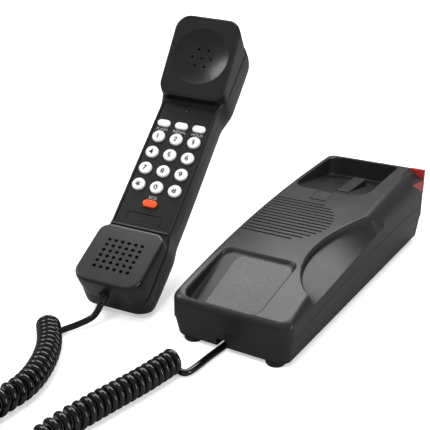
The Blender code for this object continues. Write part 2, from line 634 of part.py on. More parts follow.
def spread(points, spacing):
    """Evenly spaced points on a smooth curve through the given ones."""
    points = [Vector(p) for p in points]
    fine = []
    for i in range(len(points) - 1):
        before, after = points[max(i - 1, 0)], points[min(i + 2, len(points) - 1)]
        a, b = points[i], points[i + 1]
        for k in range(24):
            t = k / 24
            slope_a, slope_b = (b - before) / 2, (after - a) / 2
            fine.append(a * (1 + 2 * t) * (1 - t) ** 2 + b * t * t * (3 - 2 * t)
                        + slope_a * t * (1 - t) ** 2 - slope_b * t * t * (1 - t))
    fine.append(points[-1])
    lengths = [0.0]
    for a, b in zip(fine, fine[1:]):
        lengths.append(lengths[-1] + (b - a).length)
    count = max(2, round(lengths[-1] / spacing))
    result, k = [], 0
    for i in range(count + 1):
        target = lengths[-1] * i / count
        while k < len(fine) - 2 and lengths[k + 1] < target:
            k += 1
        share = (target - lengths[k]) / (lengths[k + 1] - lengths[k])
        result.append(fine[k].lerp(fine[k + 1], min(share, 1.0)))
    return result


def coil_points():
    """Points of the helix laid along the cord's path; it starts and ends on the floor side of a turn."""
    path = spread([(x * MM, y * MM, COIL_HEIGHT) for x, y in COIL_PATH], COIL_PITCH / COIL_POINTS)
    path = path[:len(path) - (len(path) - 1) % COIL_POINTS]
    points = []
    for i, place in enumerate(path):
        forward = (path[min(i + 1, len(path) - 1)] - path[max(i - 1, 0)]).normalized()
        across = Vector((0, 0, 1)).cross(forward)
        a = -math.tau * (i / COIL_POINTS + 0.25)
        points.append(place + COIL_RADIUS * (across * math.cos(a) + Vector((0, 0, 1)) * math.sin(a)))
    return points


def level_direction(step):
    return Vector((step.x, step.y, 0)).normalized()


def handset_lead(coil, handset_frame):
    """The straight lead from the coil's end up to the plug in the mouthpiece end."""
    socket = handset_frame @ (Vector(HANDSET_SOCKET) + Vector((0, -6.8 * MM, -0.6 * MM)))
    out = handset_frame.to_3x3() @ Vector((0, -1, -0.1))
    bend = socket + out * LEAD_BEND
    leave = level_direction(coil[-1] - coil[-2])
    return [coil[-1] + leave * LEAD_GAP, coil[-1] + leave * 9 * MM,
            Vector((bend.x - 3 * MM, bend.y, max(bend.z, 4 * MM))), socket]


def cord(handset_frame):
    coil = coil_points()
    tube("cord_coil", coil, CORD_RADIUS, BLACK, resolution=1)
    arrive = level_direction(coil[1] - coil[0])
    lead = [Vector(p) * MM for p in BASE_LEAD] + [coil[0] - arrive * 8 * MM, coil[0] - arrive * LEAD_GAP]
    tube("cord_base_lead", spread(lead, 4 * MM), CORD_RADIUS, BLACK)
    upper = spread(handset_lead(coil, handset_frame), 4 * MM)
    half = len(upper) // 2
    step = (upper[half + 1] - upper[half]).normalized() * GAP
    tube("cord_lead_lower", upper[:half + 1], CORD_RADIUS, BLACK)
    tube("cord_lead_upper", [upper[half] + step] + upper[half + 1:], CORD_RADIUS, BLACK)


# ---------------------------------------------------------------- handset


def half_width(y):
    ear = (EAR_HALF - HANDLE_HALF) * smooth_step(y, *EAR_BLEND)
    mouth = (MOUTH_HALF - HANDLE_HALF) * smooth_step(y, *MOUTH_BLEND)
    return HANDLE_HALF + ear + mouth


def handset_outline(inset=0.0):
    """Dog-bone outline seen from the front, as right and left points."""
    y0, y1 = MOUTH_END + inset, EAR_END - inset
    mouth, ear = MOUTH_CORNER - inset, EAR_CORNER - inset
    right = []
    for i in range(5):
        a = math.pi / 2 * i / 4
        right.append((MOUTH_HALF - inset - mouth * (1 - math.sin(a)), y0 + mouth * (1 - math.cos(a))))
    for i in range(1, 18):
        y = y0 + mouth + (y1 - ear - y0 - mouth) * i / 18
        right.append((half_width(y) - inset, y))
    for i in range(5):
        a = math.pi / 2 * i / 4
        right.append((EAR_HALF - inset - ear * (1 - math.cos(a)), y1 - ear * (1 - math.sin(a))))
    return right, [(-x, y) for x, y in right]


def ear_face(x, y):
    return EAR_FACE_Z + EAR_SLOPE * (y - EAR_FACE_Y)


def mouth_face(x, y):
    return MOUTH_FACE_Z + MOUTH_SLOPE * (y - MOUTH_FACE_Y)


def pad(bounds, radii, face, levels, bottom):
    """A raised pad: each level is (share of its height, side inset, front inset, back inset)."""
    sides = outline(bounds, radii, 5, 4)
    rings = []
    for share, side, front, back in levels:
        drawn = shrink(sides, side * MM, side * MM, front * MM, back * MM)
        rings.append(ring(drawn, lambda x, y, k=share: bottom + (face(x, y) - bottom) * k))
    return loft(rings)


EAR_LEVELS = ((0, 0, 0, 0), (0.86, 0.3, 0.2, 0.9), (0.94, 0.5, 0.5, 1.3), (0.985, 0.8, 1.0, 1.9),
              (1, 1.4, 1.8, 2.9))
MOUTH_LEVELS = ((0, 0, 0, 0), (0.5, 0.15, 0.5, 0.1), (0.8, 0.35, 0.9, 0.3), (0.93, 0.6, 1.3, 0.6),
                (0.98, 1.0, 1.9, 1.0), (1, 1.7, 2.8, 1.8))


def handset_front(frame):
    sides = handset_outline()
    rings = [ring(sides, lambda x, y: PARTING + GAP / 2)]
    for height, inset in ((-1.2, 0.3), (0.1, 0.6), (0.65, 1.1), (0.9, 1.8)):
        drawn = shrink(sides, inset * MM, inset * MM, (inset + 0.9) * MM, (inset + 0.6) * MM)
        rings.append(ring(drawn, lambda x, y, z=height: z * MM))
    shell = finish("handset_front_shell", loft(rings), CHARCOAL, frame)
    ear = pad(EAR_PAD, (8 * MM, 8 * MM, 10 * MM, 10 * MM), ear_face, EAR_LEVELS, -3 * MM)
    mouth = pad(MOUTH_PAD, (9 * MM, 9 * MM, 7 * MM, 7 * MM), mouth_face, MOUTH_LEVELS, -3.4 * MM)
    combine(shell, finish("add_ear_pad", ear, parent=frame), "UNION")
    combine(shell, finish("add_mouth_pad", mouth, parent=frame), "UNION")
    for cutter in handset_hollows(frame) + face_cutters(frame) + key_cutters(frame):
        combine(shell, cutter)


def handset_hollows(frame):
    inner = handset_outline(HANDLE_WALL)
    handle = loft([ring(inner, lambda x, y: PARTING - 2 * MM), ring(inner, lambda x, y: -PANEL_SKIN)])
    ear = prism(grown(EAR_PAD, -3.4 * MM), (7 * MM,) * 4, lambda x, y: -4 * MM,
                lambda x, y: ear_face(x, y) - EAR_SKIN)
    mouth = prism((MOUTH_PAD[0] + 3.2 * MM, MOUTH_PAD[1] - 3.2 * MM, MOUTH_PAD[2] + 8 * MM,
                   MOUTH_PAD[3] - 3.2 * MM),
                  (6 * MM,) * 4, lambda x, y: -4.2 * MM, lambda x, y: mouth_face(x, y) - MOUTH_SKIN)
    return [finish(name, bm, parent=frame) for name, bm in
            (("hollow_handle", handle), ("hollow_ear", ear), ("hollow_mouth", mouth))]


def face_cutters(frame):
    ear_turn, mouth_turn = math.degrees(math.atan(EAR_SLOPE)), math.degrees(math.atan(MOUTH_SLOPE))
    sphere = (DISH_RADIUS ** 2 + DISH_DEPTH ** 2) / (2 * DISH_DEPTH)
    limit = math.asin(DISH_RADIUS / sphere)
    profile = [(sphere * math.sin(limit * i / 4),
                sphere - DISH_DEPTH - sphere * math.cos(limit * i / 4)) for i in range(5)]
    profile[0] = (0, -DISH_DEPTH)
    profile += [(DISH_RADIUS + 0.7 * MM, 0.5 * MM), (DISH_RADIUS + 0.7 * MM, 4 * MM), (0, 4 * MM)]
    dish = finish("cut_dish", lathe(profile, 28), parent=frame, place=(0, EAR_FACE_Y, EAR_FACE_Z),
                  turn=(ear_turn, 0, 0))
    holes = [cylinder(EAR_HOLE_RADIUS, -12 * MM, 2 * MM, 8) for _ in range(EAR_HOLES + 1)]
    for i, hole in enumerate(holes[1:]):
        a = math.tau * i / EAR_HOLES
        bmesh.ops.translate(hole, verts=hole.verts, vec=(EAR_HOLE_RING * math.cos(a),
                                                         EAR_HOLE_RING * math.sin(a), 0))
    bmesh.ops.rotate(holes[0], verts=holes[0].verts, matrix=Matrix.Rotation(EAR_HOLE_TURN, 3, "Z"))
    ear = finish("cut_ear_holes", merged(holes), parent=frame, place=(0, EAR_FACE_Y, EAR_FACE_Z),
                 turn=(ear_turn, 0, 0))
    grid = []
    for i in range(MOUTH_HOLES):
        for j in range(MOUTH_HOLES):
            hole = cylinder(MOUTH_HOLE_RADIUS, -5 * MM, 2 * MM, 8)
            shift = [(k - (MOUTH_HOLES - 1) / 2) * MOUTH_HOLE_PITCH for k in (i, j)]
            bmesh.ops.translate(hole, verts=hole.verts, vec=(*shift, 0))
            grid.append(hole)
    mouth = finish("cut_mouth_holes", merged(grid), parent=frame, place=(0, MOUTH_FACE_Y, MOUTH_FACE_Z),
                   turn=(mouth_turn, 0, 0))
    socket = finish("cut_socket", cylinder(3.4 * MM, -14 * MM, 6 * MM, 16), parent=frame,
                    place=HANDSET_SOCKET, turn=(90, 0, 0))
    panel = finish("cut_panel", box(*PANEL, 0, 4 * MM), parent=frame)
    plate = finish("cut_name_plate", box(*grown(NAME_PLATE, GAP), -0.8 * MM, 3 * MM), parent=frame)
    return [dish, ear, mouth, socket, panel, plate]


def key_places():
    """Every key as (name, x, y, half sizes or None when round)."""
    places = []
    for row, y in zip(KEY_NAMES, KEY_ROWS):
        for column, name in enumerate(row):
            places.append((f"key_{name}", (column - 1) * KEY_PITCH_X, y, None))
    for column, name in enumerate(FUNCTION_NAMES):
        places.append((f"key_{name}", (column - 1) * KEY_PITCH_X, FUNCTION_Y, FUNCTION_HALF))
    places.append(("key_sos", 0.0, SOS_Y, SOS_HALF))
    return places


def oval(half, grow, z0, z1):
    a, b = half[0] + grow, half[1] + grow
    return prism((-a, a, -b, b), (b * 0.999,) * 4, lambda x, y: z0, lambda x, y: z1, 1)


def key_cutters(frame):
    bodies = []
    for _, x, y, half in key_places():
        if half:
            body = oval(half, GAP, -6 * MM, 3 * MM)
        else:
            body = cylinder(KEY_RADIUS + GAP, -6 * MM, 3 * MM, KEY_SIDES)
        bmesh.ops.translate(body, verts=body.verts, vec=(x, y, 0))
        bodies.append(body)
    return [finish("cut_keys", merged(bodies), parent=frame)]


def key_body(half):
    """A capped key with a flange under the panel, its origin on the panel's surface."""
    if half is None:
        r = KEY_RADIUS
        return lathe(((0, -KEY_DEPTH), (r + KEY_FLANGE, -KEY_DEPTH), (r + KEY_FLANGE, KEY_FLANGE_TOP),
                      (r, KEY_FLANGE_TOP),
                      (r, KEY_PROUD - 0.5 * MM), (r - 0.8 * MM, KEY_PROUD), (0, KEY_PROUD)), KEY_SIDES)
    a, b = half
    rings = []
    for grow, z in ((OVAL_FLANGE, -KEY_DEPTH), (OVAL_FLANGE, KEY_FLANGE_TOP), (0, KEY_FLANGE_TOP),
                    (0, KEY_PROUD - 0.5 * MM),
                    (-0.8 * MM, KEY_PROUD)):
        size = (-a - grow, a + grow, -b - grow, b + grow)
        rings.append(ring(outline(size, ((b + grow) * 0.999,) * 4, 1), lambda x, y, z=z: z))
    return loft(rings)


def keys(frame):
    for name, x, y, half in key_places():
        colour = ORANGE if name == "key_sos" else OFF_WHITE
        finish(name, key_body(half), colour, frame, place=(x, y, 0), roughness=0.35)


def back_line(y):
    return hermite(BACK_LINE, y)


def back_body(inset, top):
    """The handset's rounded back, or the same form drawn in by inset for its hollow."""
    sides = handset_outline(inset)
    rings = []
    for step in (5, 4, 3, 2, 1):
        a = math.radians(16 * step)
        width, depth = math.cos(a) ** 0.5, math.sin(a) ** 0.5
        drawn = [[(x * width, y * (1 - 0.008 * step)) for x, y in side] for side in sides]

        def height(x, y, k=depth):
            return PARTING + (min(back_line(y) + inset, PARTING - 0.6 * MM) - PARTING) * k

        rings.append(ring(drawn, height))
    return loft(rings + [ring(sides, lambda x, y: top)])


def handset_back(frame):
    shell = finish("handset_back_shell", back_body(0.0, PARTING - GAP / 2), CHARCOAL, frame)
    combine(shell, finish("hollow_back", back_body(SHELL_WALL, PARTING + 2 * MM), parent=frame))
    for i, y in enumerate((-62 * MM, 60 * MM)):
        outside = back_line(y)
        hole = stepped_hole(3.2 * MM, 1.8 * MM, -3 * MM, 1.1 * MM, 4 * MM)
        combine(shell, finish(f"cut_back_screw_{i}", hole, parent=frame, place=(0, y, outside)))
        profile = ((0, 0.3), (2.8, 0.3), (2.8, 0.95), (1.5, 1.0), (1.5, 7), (0, 7.6))
        finish(f"handset_screw_{i + 1}", lathe([(r * MM, z * MM) for r, z in profile], 12), STEEL, frame,
               place=(0, y, outside), roughness=0.3, metallic=1.0)


def handset_small_pieces(frame):
    finish("name_plate", box(*NAME_PLATE, -0.5 * MM, -0.1 * MM), BLACK, frame, roughness=0.2)
    finish("keypad_mat", box(-16.8 * MM, 16.8 * MM, -35 * MM, 33.5 * MM, -6.6 * MM, -5.7 * MM), BLACK,
           frame, roughness=0.9)
    finish("keypad_circuit_board", box(-16.9 * MM, 16.9 * MM, -44 * MM, 40 * MM, -8.4 * MM, -6.9 * MM),
           GREEN, frame)
    ear_turn, mouth_turn = math.degrees(math.atan(EAR_SLOPE)), math.degrees(math.atan(MOUTH_SLOPE))
    finish("receiver_capsule", cylinder(15 * MM, -11 * MM, -7.2 * MM, 28), BLACK, frame,
           place=(0, EAR_FACE_Y, EAR_FACE_Z), turn=(ear_turn, 0, 0))
    finish("microphone_capsule", cylinder(5 * MM, -7.5 * MM, -3 * MM, 20), BLACK, frame,
           place=(0, MOUTH_FACE_Y, MOUTH_FACE_Z), turn=(mouth_turn, 0, 0))
    profile = ((0, -3), (3, -3), (3, 2.2), (2.4, 3.2), (2.4, 6.4), (0, 6.4))
    finish("handset_cord_plug", lathe([(r * MM, z * MM) for r, z in profile], 16), BLACK, frame,
           place=HANDSET_SOCKET, turn=(95, 0, 0))


def handset_frame():
    """Empties for the swing line and for the handset's own frame."""
    hinge = bpy.data.objects.new("handset_hinge", None)
    frame = bpy.data.objects.new("handset_frame", None)
    for empty in (hinge, frame):
        PARTS.objects.link(empty)
    hinge.location = HINGE_PLACE
    frame.parent, hinge.parent = hinge, ROOT
    frame.location = Vector(HANDSET_PLACE) - Vector(HINGE_PLACE)
    frame.rotation_euler = [math.radians(a) for a in HANDSET_TURN]
    pose = Matrix.Translation(HANDSET_PLACE) @ Euler(frame.rotation_euler).to_matrix().to_4x4()
    return frame, pose


top_shell()
bottom_shell()
base_small_pieces()
lamp_pieces()
hook_pieces()
FRAME, POSE = handset_frame()
handset_front(FRAME)
handset_back(FRAME)
keys(FRAME)
handset_small_pieces(FRAME)
cord(POSE)
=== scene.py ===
"""The visual model of the corded landline phone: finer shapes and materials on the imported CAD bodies.

Units are metres, +Z is up, the floor is z = 0, the base's front edge faces -Y and its ledge side +X.
Places are given from the middle of the base; HOME moves them to the origin under the front left foot.
"""

import math

import bmesh
import bpy
from mathutils import Euler, Matrix, Vector


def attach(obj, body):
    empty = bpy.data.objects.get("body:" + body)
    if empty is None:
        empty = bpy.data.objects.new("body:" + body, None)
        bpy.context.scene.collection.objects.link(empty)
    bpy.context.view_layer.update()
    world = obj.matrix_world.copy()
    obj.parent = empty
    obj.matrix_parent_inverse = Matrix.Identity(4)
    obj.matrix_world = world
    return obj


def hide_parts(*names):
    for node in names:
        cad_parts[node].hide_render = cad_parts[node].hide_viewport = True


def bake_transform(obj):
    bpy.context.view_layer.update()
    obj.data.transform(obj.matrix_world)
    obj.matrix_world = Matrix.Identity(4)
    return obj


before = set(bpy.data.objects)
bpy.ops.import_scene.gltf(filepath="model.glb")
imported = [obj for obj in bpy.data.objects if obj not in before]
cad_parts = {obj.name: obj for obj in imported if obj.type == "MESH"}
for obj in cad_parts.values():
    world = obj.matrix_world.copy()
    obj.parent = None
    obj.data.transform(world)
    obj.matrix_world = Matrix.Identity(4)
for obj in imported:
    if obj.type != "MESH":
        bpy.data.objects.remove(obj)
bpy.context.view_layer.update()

MM = 0.001
GAP = 0.3 * MM  # clearance left between neighbouring pieces

ORIGIN = (-26 * MM, -100 * MM, 0)  # the front left foot's underside, measured from the middle of the base

# base body
BASE_HALF_WIDTH = 37 * MM
BASE_HALF_LENGTH = 107.5 * MM
FOOT_HEIGHT = 3 * MM
WALL = 2.4 * MM
TOP_FRONT, TOP_BACK, TOP_BOW, TOP_SKEW = 27.0 * MM, 53.6 * MM, 25.2 * MM, -4.9 * MM
SHOULDER_FRONT, SHOULDER_RISE, SHOULDER_BOW, SHOULDER_SKEW = 25.5 * MM, 10 * MM, 17.1 * MM, 18.7 * MM
PARTING_FRONT, PARTING_RISE, PARTING_BOW = 16 * MM, 11.3 * MM, 17.2 * MM
BAND_FRONT, BAND_RISE = 14.3 * MM, 4.7 * MM
SKIRT_TAPER = 2 * MM
FRONT_RADIUS, BACK_LEFT_RADIUS, BACK_RIGHT_RADIUS = 6 * MM, 5 * MM, 1.2 * MM
LEFT_ROUND, FRONT_ROUND, BACK_ROUND = 2.5 * MM, 3.6 * MM, 1.5 * MM
RIGHT_ROUND_FRONT, RIGHT_ROUND_GROWTH = 4 * MM, 9 * MM

# finger ledge along the right side
LEDGE_FRONT, LEDGE_BACK = -80 * MM, 27 * MM
LEDGE_DEPTH, LEDGE_SKEW, LEDGE_DROP = 19.5 * MM, 0.72, 4.75 * MM
LEDGE_FLARE = 2.2 * MM

# cradle hollows: left, right, front, back
POCKET = (-33.1 * MM, 18.1 * MM, 38.5 * MM, 104.5 * MM)
POCKET_RADII = (9 * MM, 14 * MM, 9 * MM, 2 * MM)
POCKET_FLOOR_BACK, POCKET_FLOOR_SLOPE = 38.5 * MM, -0.14
RECESS = (-31.1 * MM, 16.1 * MM, -104 * MM, -55 * MM)
RECESS_RADII = (6 * MM, 6 * MM, 6 * MM, 6 * MM)
RECESS_FLOOR_FRONT, RECESS_FLOOR_SLOPE = 17.9 * MM, 0.39
HOLLOW_FLOOR = 2.2 * MM

# ringer slots
SLOT_COUNT, SLOT_PITCH, SLOT_WIDTH = 14, 3.7 * MM, 1.25 * MM
SLOT_FIRST, SLOT_LEFT = -32.1 * MM, -34.2 * MM
SLOT_CENTRE, SLOT_REACH = (-12 * MM, -8 * MM), 27 * MM
SLOT_DEPTH = 3.6 * MM

# hook switch
HOOK = (-8.8 * MM, 0.6 * MM, 56 * MM, 89 * MM)
HOOK_TOP, HOOK_HEIGHT, HOOK_FRONT_SLOT = 45.7 * MM, 9.7 * MM, 2.4 * MM
SPRING_RADIUS, SPRING_WIRE, SPRING_TURNS, SPRING_TURN_POINTS = 2.6 * MM, 0.35 * MM, 5, 24
SPRING_MIDDLE, SPRING_FOOT, SPRING_TOP_GAP = (-4.1 * MM, 70 * MM), 22.5 * MM, 0.5 * MM

# wall-hanging tab
TAB = (-13.6 * MM, -2.2 * MM, 23.2 * MM, 36.6 * MM)
TAB_THICK, TAB_FRONT_SLOT = 1.9 * MM, 1.3 * MM

# middle of the ringer volume knob
VOLUME_PLACE = (-10 * MM, BASE_HALF_LENGTH, 32.6 * MM)

# message lamp in the back right corner
LAMP_LEFT, LAMP_FRONT, LAMP_CAP_FRONT = 26.6 * MM, 90 * MM, 86.5 * MM
LAMP_FACE_FRONT = (33.7 * MM, 86.8 * MM)
LAMP_BOTTOM, LAMP_BOTTOM_SLOPE = 36 * MM, -0.56
LAMP_TOP, LAMP_FIN_FRONT = 53.4 * MM, 105.2 * MM
CAP_RISE = ((26.6 * MM, 52.7 * MM), (30 * MM, 51.2 * MM), (33.7 * MM, 47.9 * MM), (37 * MM, 47.5 * MM))
CAP_THICK = 1.2 * MM

# handset, in its own frame: X across, Y towards the ear end, Z out of the face
PARTING = -9 * MM
HANDLE_HALF, EAR_HALF, MOUTH_HALF = 20.3 * MM, 24.0 * MM, 22.2 * MM
EAR_END, MOUTH_END = 105 * MM, -98.5 * MM
EAR_CORNER, MOUTH_CORNER = 10 * MM, 9 * MM
EAR_BLEND, MOUTH_BLEND = (42 * MM, 60 * MM), (-46 * MM, -60 * MM)
PANEL = (-18.7 * MM, 18.7 * MM, -47.5 * MM, 46 * MM)
EAR_PAD = (-23.3 * MM, 23.3 * MM, 48.2 * MM, 103.55 * MM)
MOUTH_PAD = (-21.5 * MM, 21.5 * MM, -97.1 * MM, -51.8 * MM)
EAR_FACE_Y, EAR_FACE_Z, EAR_SLOPE = 75.6 * MM, 15.8 * MM, 0.32
MOUTH_FACE_Y, MOUTH_FACE_Z, MOUTH_SLOPE = -74.4 * MM, 14.4 * MM, -0.296
DISH_RADIUS, DISH_DEPTH = 19.4 * MM, 4 * MM
EAR_SKIN, MOUTH_SKIN, PANEL_SKIN, SHELL_WALL, HANDLE_WALL = 6.5 * MM, 2.5 * MM, 2 * MM, 2.2 * MM, 1.6 * MM
BACK_LINE = (
    (-98.5 * MM, -11 * MM), (-92 * MM, -20 * MM), (-65 * MM, -26 * MM), (-30 * MM, -29 * MM),
    (37 * MM, -27.5 * MM), (75 * MM, -26 * MM), (97 * MM, -23.5 * MM), (105 * MM, -19 * MM),
)  # lowest line of the back as (Y, Z)

# keys
KEY_PITCH_X, KEY_ROWS = 12.3 * MM, (18.5 * MM, 6.2 * MM, -6.2 * MM, -18.5 * MM)
KEY_NAMES = (("1", "2", "3"), ("4", "5", "6"), ("7", "8", "9"), ("star", "0", "hash"))
KEY_RADIUS, KEY_PROUD, KEY_DEPTH = 4.3 * MM, 1.5 * MM, 4.2 * MM
KEY_FLANGE, KEY_FLANGE_TOP = 0.5 * MM, -2.8 * MM
FUNCTION_NAMES, FUNCTION_Y = ("flash", "redial", "hold"), 29.1 * MM
FUNCTION_HALF, OVAL_FLANGE = (4.5 * MM, 2.6 * MM), 0.4 * MM
SOS_Y, SOS_HALF = -30.6 * MM, (4.8 * MM, 2.6 * MM)
NAME_PLATE = (-11 * MM, 11 * MM, -43.8 * MM, -38.2 * MM)

# holes in the handset face
MOUTH_HOLES, MOUTH_HOLE_PITCH, MOUTH_HOLE_RADIUS = 6, 4.25 * MM, 1.2 * MM
EAR_HOLES, EAR_HOLE_RING, EAR_HOLE_RADIUS, EAR_HOLE_TURN = 6, 6.6 * MM, 0.9 * MM, 0.2

# where the handset stands
HANDSET_PLACE = (-88.13 * MM, -34.31 * MM, 75.6 * MM)
HANDSET_TURN = (40.28, 4.84, 11.36)

# cord
CORD_RADIUS, COIL_RADIUS, COIL_PITCH = 1.9 * MM, 5.1 * MM, 5.95 * MM
COIL_POINTS, COIL_FINE_POINTS, COIL_HEIGHT = 8, 32, 7.7 * MM
COIL_PATH = (
    (-15, -136), (-18, -160), (-23, -186), (-27, -210), (-28, -232), (-33.4, -245.1), (-46.5, -250.5),
    (-59.6, -245.1), (-65, -232), (-65, -212), (-65, -194), (-71, -176), (-82, -158), (-98, -141),
)  # middle of the coil over the floor, from the base's lead to the handset's, in millimetres
BASE_LEAD = ((-4.6, -80.2, 9), (-4.6, -86, 7), (-4.6, -92, 3.4), (-4.6, -101, 2.5), (-5.5, -115, 2.5))
HANDSET_SOCKET, LEAD_BEND, LEAD_GAP = (-3 * MM, -95.6 * MM, 5 * MM), 9 * MM, 1.2 * MM
TUNNEL = (-7.8 * MM, -1.4 * MM, -112 * MM, -79.6 * MM)
TUNNEL_TOP = 8 * MM
COIL_TIGHT_PITCH, LOOP_EDGE = 4.4 * MM, (-212 * MM, -190 * MM)  # closer turns in front of the loop
LEAD_SPLIT = 0.16  # share of the handset's lead in its low length, and in its high length


# ---------------------------------------------------------------- shapes shared with the CAD


def box(x0, x1, y0, y1, z0, z1):
    bm = bmesh.new()
    bmesh.ops.create_cube(bm, size=1.0)
    centre = Vector((x0 + x1, y0 + y1, z0 + z1)) / 2
    size = Vector((x1 - x0, y1 - y0, z1 - z0))
    bmesh.ops.transform(bm, verts=bm.verts, matrix=Matrix.Translation(centre) @ Matrix.Diagonal((*size, 1)))
    return bm


def lathe(profile, segments=20):
    """Spin a (radius, z) profile that starts and ends on the axis."""
    bm = bmesh.new()
    verts = [bm.verts.new((radius, 0, z)) for radius, z in profile]
    edges = [bm.edges.new(pair) for pair in zip(verts, verts[1:])]
    bmesh.ops.spin(bm, geom=verts + edges, cent=(0, 0, 0), axis=(0, 0, 1), angle=math.tau,
                   steps=segments, use_merge=True)
    bmesh.ops.remove_doubles(bm, verts=bm.verts, dist=1e-7)
    return bm


def cylinder(radius, z0, z1, segments=20):
    return lathe(((0, z0), (radius, z0), (radius, z1), (0, z1)), segments)


def stepped_hole(head, shank, z0, z1, z2):
    return lathe(((0, z0), (head, z0), (head, z1), (shank, z1), (shank, z2), (0, z2)), 12)


def merged(parts):
    """Join several separate bmeshes into one."""
    bm = bmesh.new()
    for part in parts:
        mesh = bpy.data.meshes.new("joined")
        part.to_mesh(mesh)
        part.free()
        bm.from_mesh(mesh)
        bpy.data.meshes.remove(mesh)
    return bm


def ring(sides, height):
    """One closed ring of points: up the right side, back down the left."""
    right, left = sides
    return [(x, y, height(x, y)) for x, y in right] + [(x, y, height(x, y)) for x, y in reversed(left)]


def loft(rings):
    """Skin rings listed from the bottom up, and close both ends with strips across."""
    bm = bmesh.new()
    rows = [[bm.verts.new(p) for p in points] for points in rings]
    count = len(rows[0])
    for low, high in zip(rows, rows[1:]):
        for i in range(count):
            j = (i + 1) % count
            bm.faces.new((low[i], low[j], high[j], high[i]))
    for row, flip in ((rows[0], True), (rows[-1], False)):
        for i in range(count // 2 - 1):
            face = (row[i], row[i + 1], row[count - 2 - i], row[count - 1 - i])
            bm.faces.new(reversed(face) if flip else face)
    bmesh.ops.remove_doubles(bm, verts=bm.verts, dist=1e-7)
    bmesh.ops.triangulate(bm, faces=bm.faces)
    return bm


def shrink(sides, left, right, front, back):
    """Move an outline's four sides in, keeping its corners in proportion."""
    every = sides[0] + sides[1]
    y0, y1 = min(y for _, y in every), max(y for _, y in every)
    x0, x1 = min(x for x, _ in every), max(x for x, _ in every)

    def shifted(x, y):
        share_x, share_y = (x - x0) / (x1 - x0), (y - y0) / (y1 - y0)
        inset = right(y) if callable(right) else right
        return x + left * (1 - share_x) - inset * share_x, y + front * (1 - share_y) - back * share_y

    return [shifted(*p) for p in sides[0]], [shifted(*p) for p in sides[1]]


def drawn_in(sides, inset):
    """Move all four sides of an outline in by the same amount."""
    return shrink(sides, inset, inset, inset, inset)


def hermite(points, y):
    """Smooth curve through (y, value) points."""
    y = min(max(y, points[0][0]), points[-1][0])
    i = max(k for k in range(len(points) - 1) if points[k][0] <= y)
    (y0, v0), (y1, v1) = points[i], points[i + 1]
    before, after = points[max(i - 1, 0)], points[min(i + 2, len(points) - 1)]
    slope0, slope1 = (v1 - before[1]) / (y1 - before[0]), (after[1] - v0) / (after[0] - y0)
    t, span = (y - y0) / (y1 - y0), y1 - y0
    return (v0 * (1 + 2 * t) * (1 - t) ** 2 + v1 * t * t * (3 - 2 * t)
            + span * (slope0 * t * (1 - t) ** 2 - slope1 * t * t * (1 - t)))


def smooth_step(y, start, end):
    t = min(max((y - start) / (end - start), 0.0), 1.0)
    return t * t * (3 - 2 * t)


def along(y):
    return (y + BASE_HALF_LENGTH) / (2 * BASE_HALF_LENGTH)


def bowed(y, start, rise, bow, skew=0.0):
    s = along(y)
    return start + rise * s + bow * s * (1 - s) + skew * s * (1 - s) * (2 * s - 1)


def top_height(y):
    return bowed(y, TOP_FRONT, TOP_BACK - TOP_FRONT, TOP_BOW, TOP_SKEW)


def shoulder_height(y):
    return bowed(y, SHOULDER_FRONT, SHOULDER_RISE, SHOULDER_BOW, SHOULDER_SKEW)


def parting_height(y):
    return bowed(y, PARTING_FRONT, PARTING_RISE, PARTING_BOW)


def right_round(y):
    return RIGHT_ROUND_FRONT + RIGHT_ROUND_GROWTH * along(y)


def ledge_depth(y):
    share = (y - LEDGE_FRONT) / (LEDGE_BACK - LEDGE_FRONT)
    return LEDGE_DEPTH * math.sin(math.pi * share ** LEDGE_SKEW)


def pocket_floor(x, y):
    return POCKET_FLOOR_BACK + (y - POCKET[3]) * POCKET_FLOOR_SLOPE


def recess_floor(x, y):
    return RECESS_FLOOR_FRONT + (y - RECESS[2]) * RECESS_FLOOR_SLOPE


def grown(bounds, by):
    return bounds[0] - by, bounds[1] + by, bounds[2] - by, bounds[3] + by


def above(x, y):
    return top_height(y) + 8 * MM


def lamp_bottom(x, y):
    return LAMP_BOTTOM + (y - BASE_HALF_LENGTH) * LAMP_BOTTOM_SLOPE


def cap_top(x, y):
    for (x0, z0), (x1, z1) in zip(CAP_RISE, CAP_RISE[1:]):
        if x <= x1:
            return z0 + (z1 - z0) * (x - x0) / (x1 - x0)
    return CAP_RISE[-1][1]


def lamp_face_x(y):
    share = (y - LAMP_FACE_FRONT[1]) / (BASE_HALF_LENGTH - LAMP_FACE_FRONT[1])
    return LAMP_FACE_FRONT[0] + (BASE_HALF_WIDTH - LAMP_FACE_FRONT[0]) * share


def slot_boxes():
    boxes = []
    for i in range(SLOT_COUNT):
        y = SLOT_FIRST + SLOT_PITCH * i
        right = SLOT_CENTRE[0] + math.sqrt(SLOT_REACH ** 2 - (y - SLOT_CENTRE[1]) ** 2)
        front, back, top = y - SLOT_WIDTH / 2, y + SLOT_WIDTH / 2, top_height(y)
        boxes.append(box(SLOT_LEFT, right, front, back, top - SLOT_DEPTH, top + 2 * MM))
    return boxes


def screw_places():
    return [(x * MM, y * MM) for x in (-27, 27) for y in (-84, 84)]


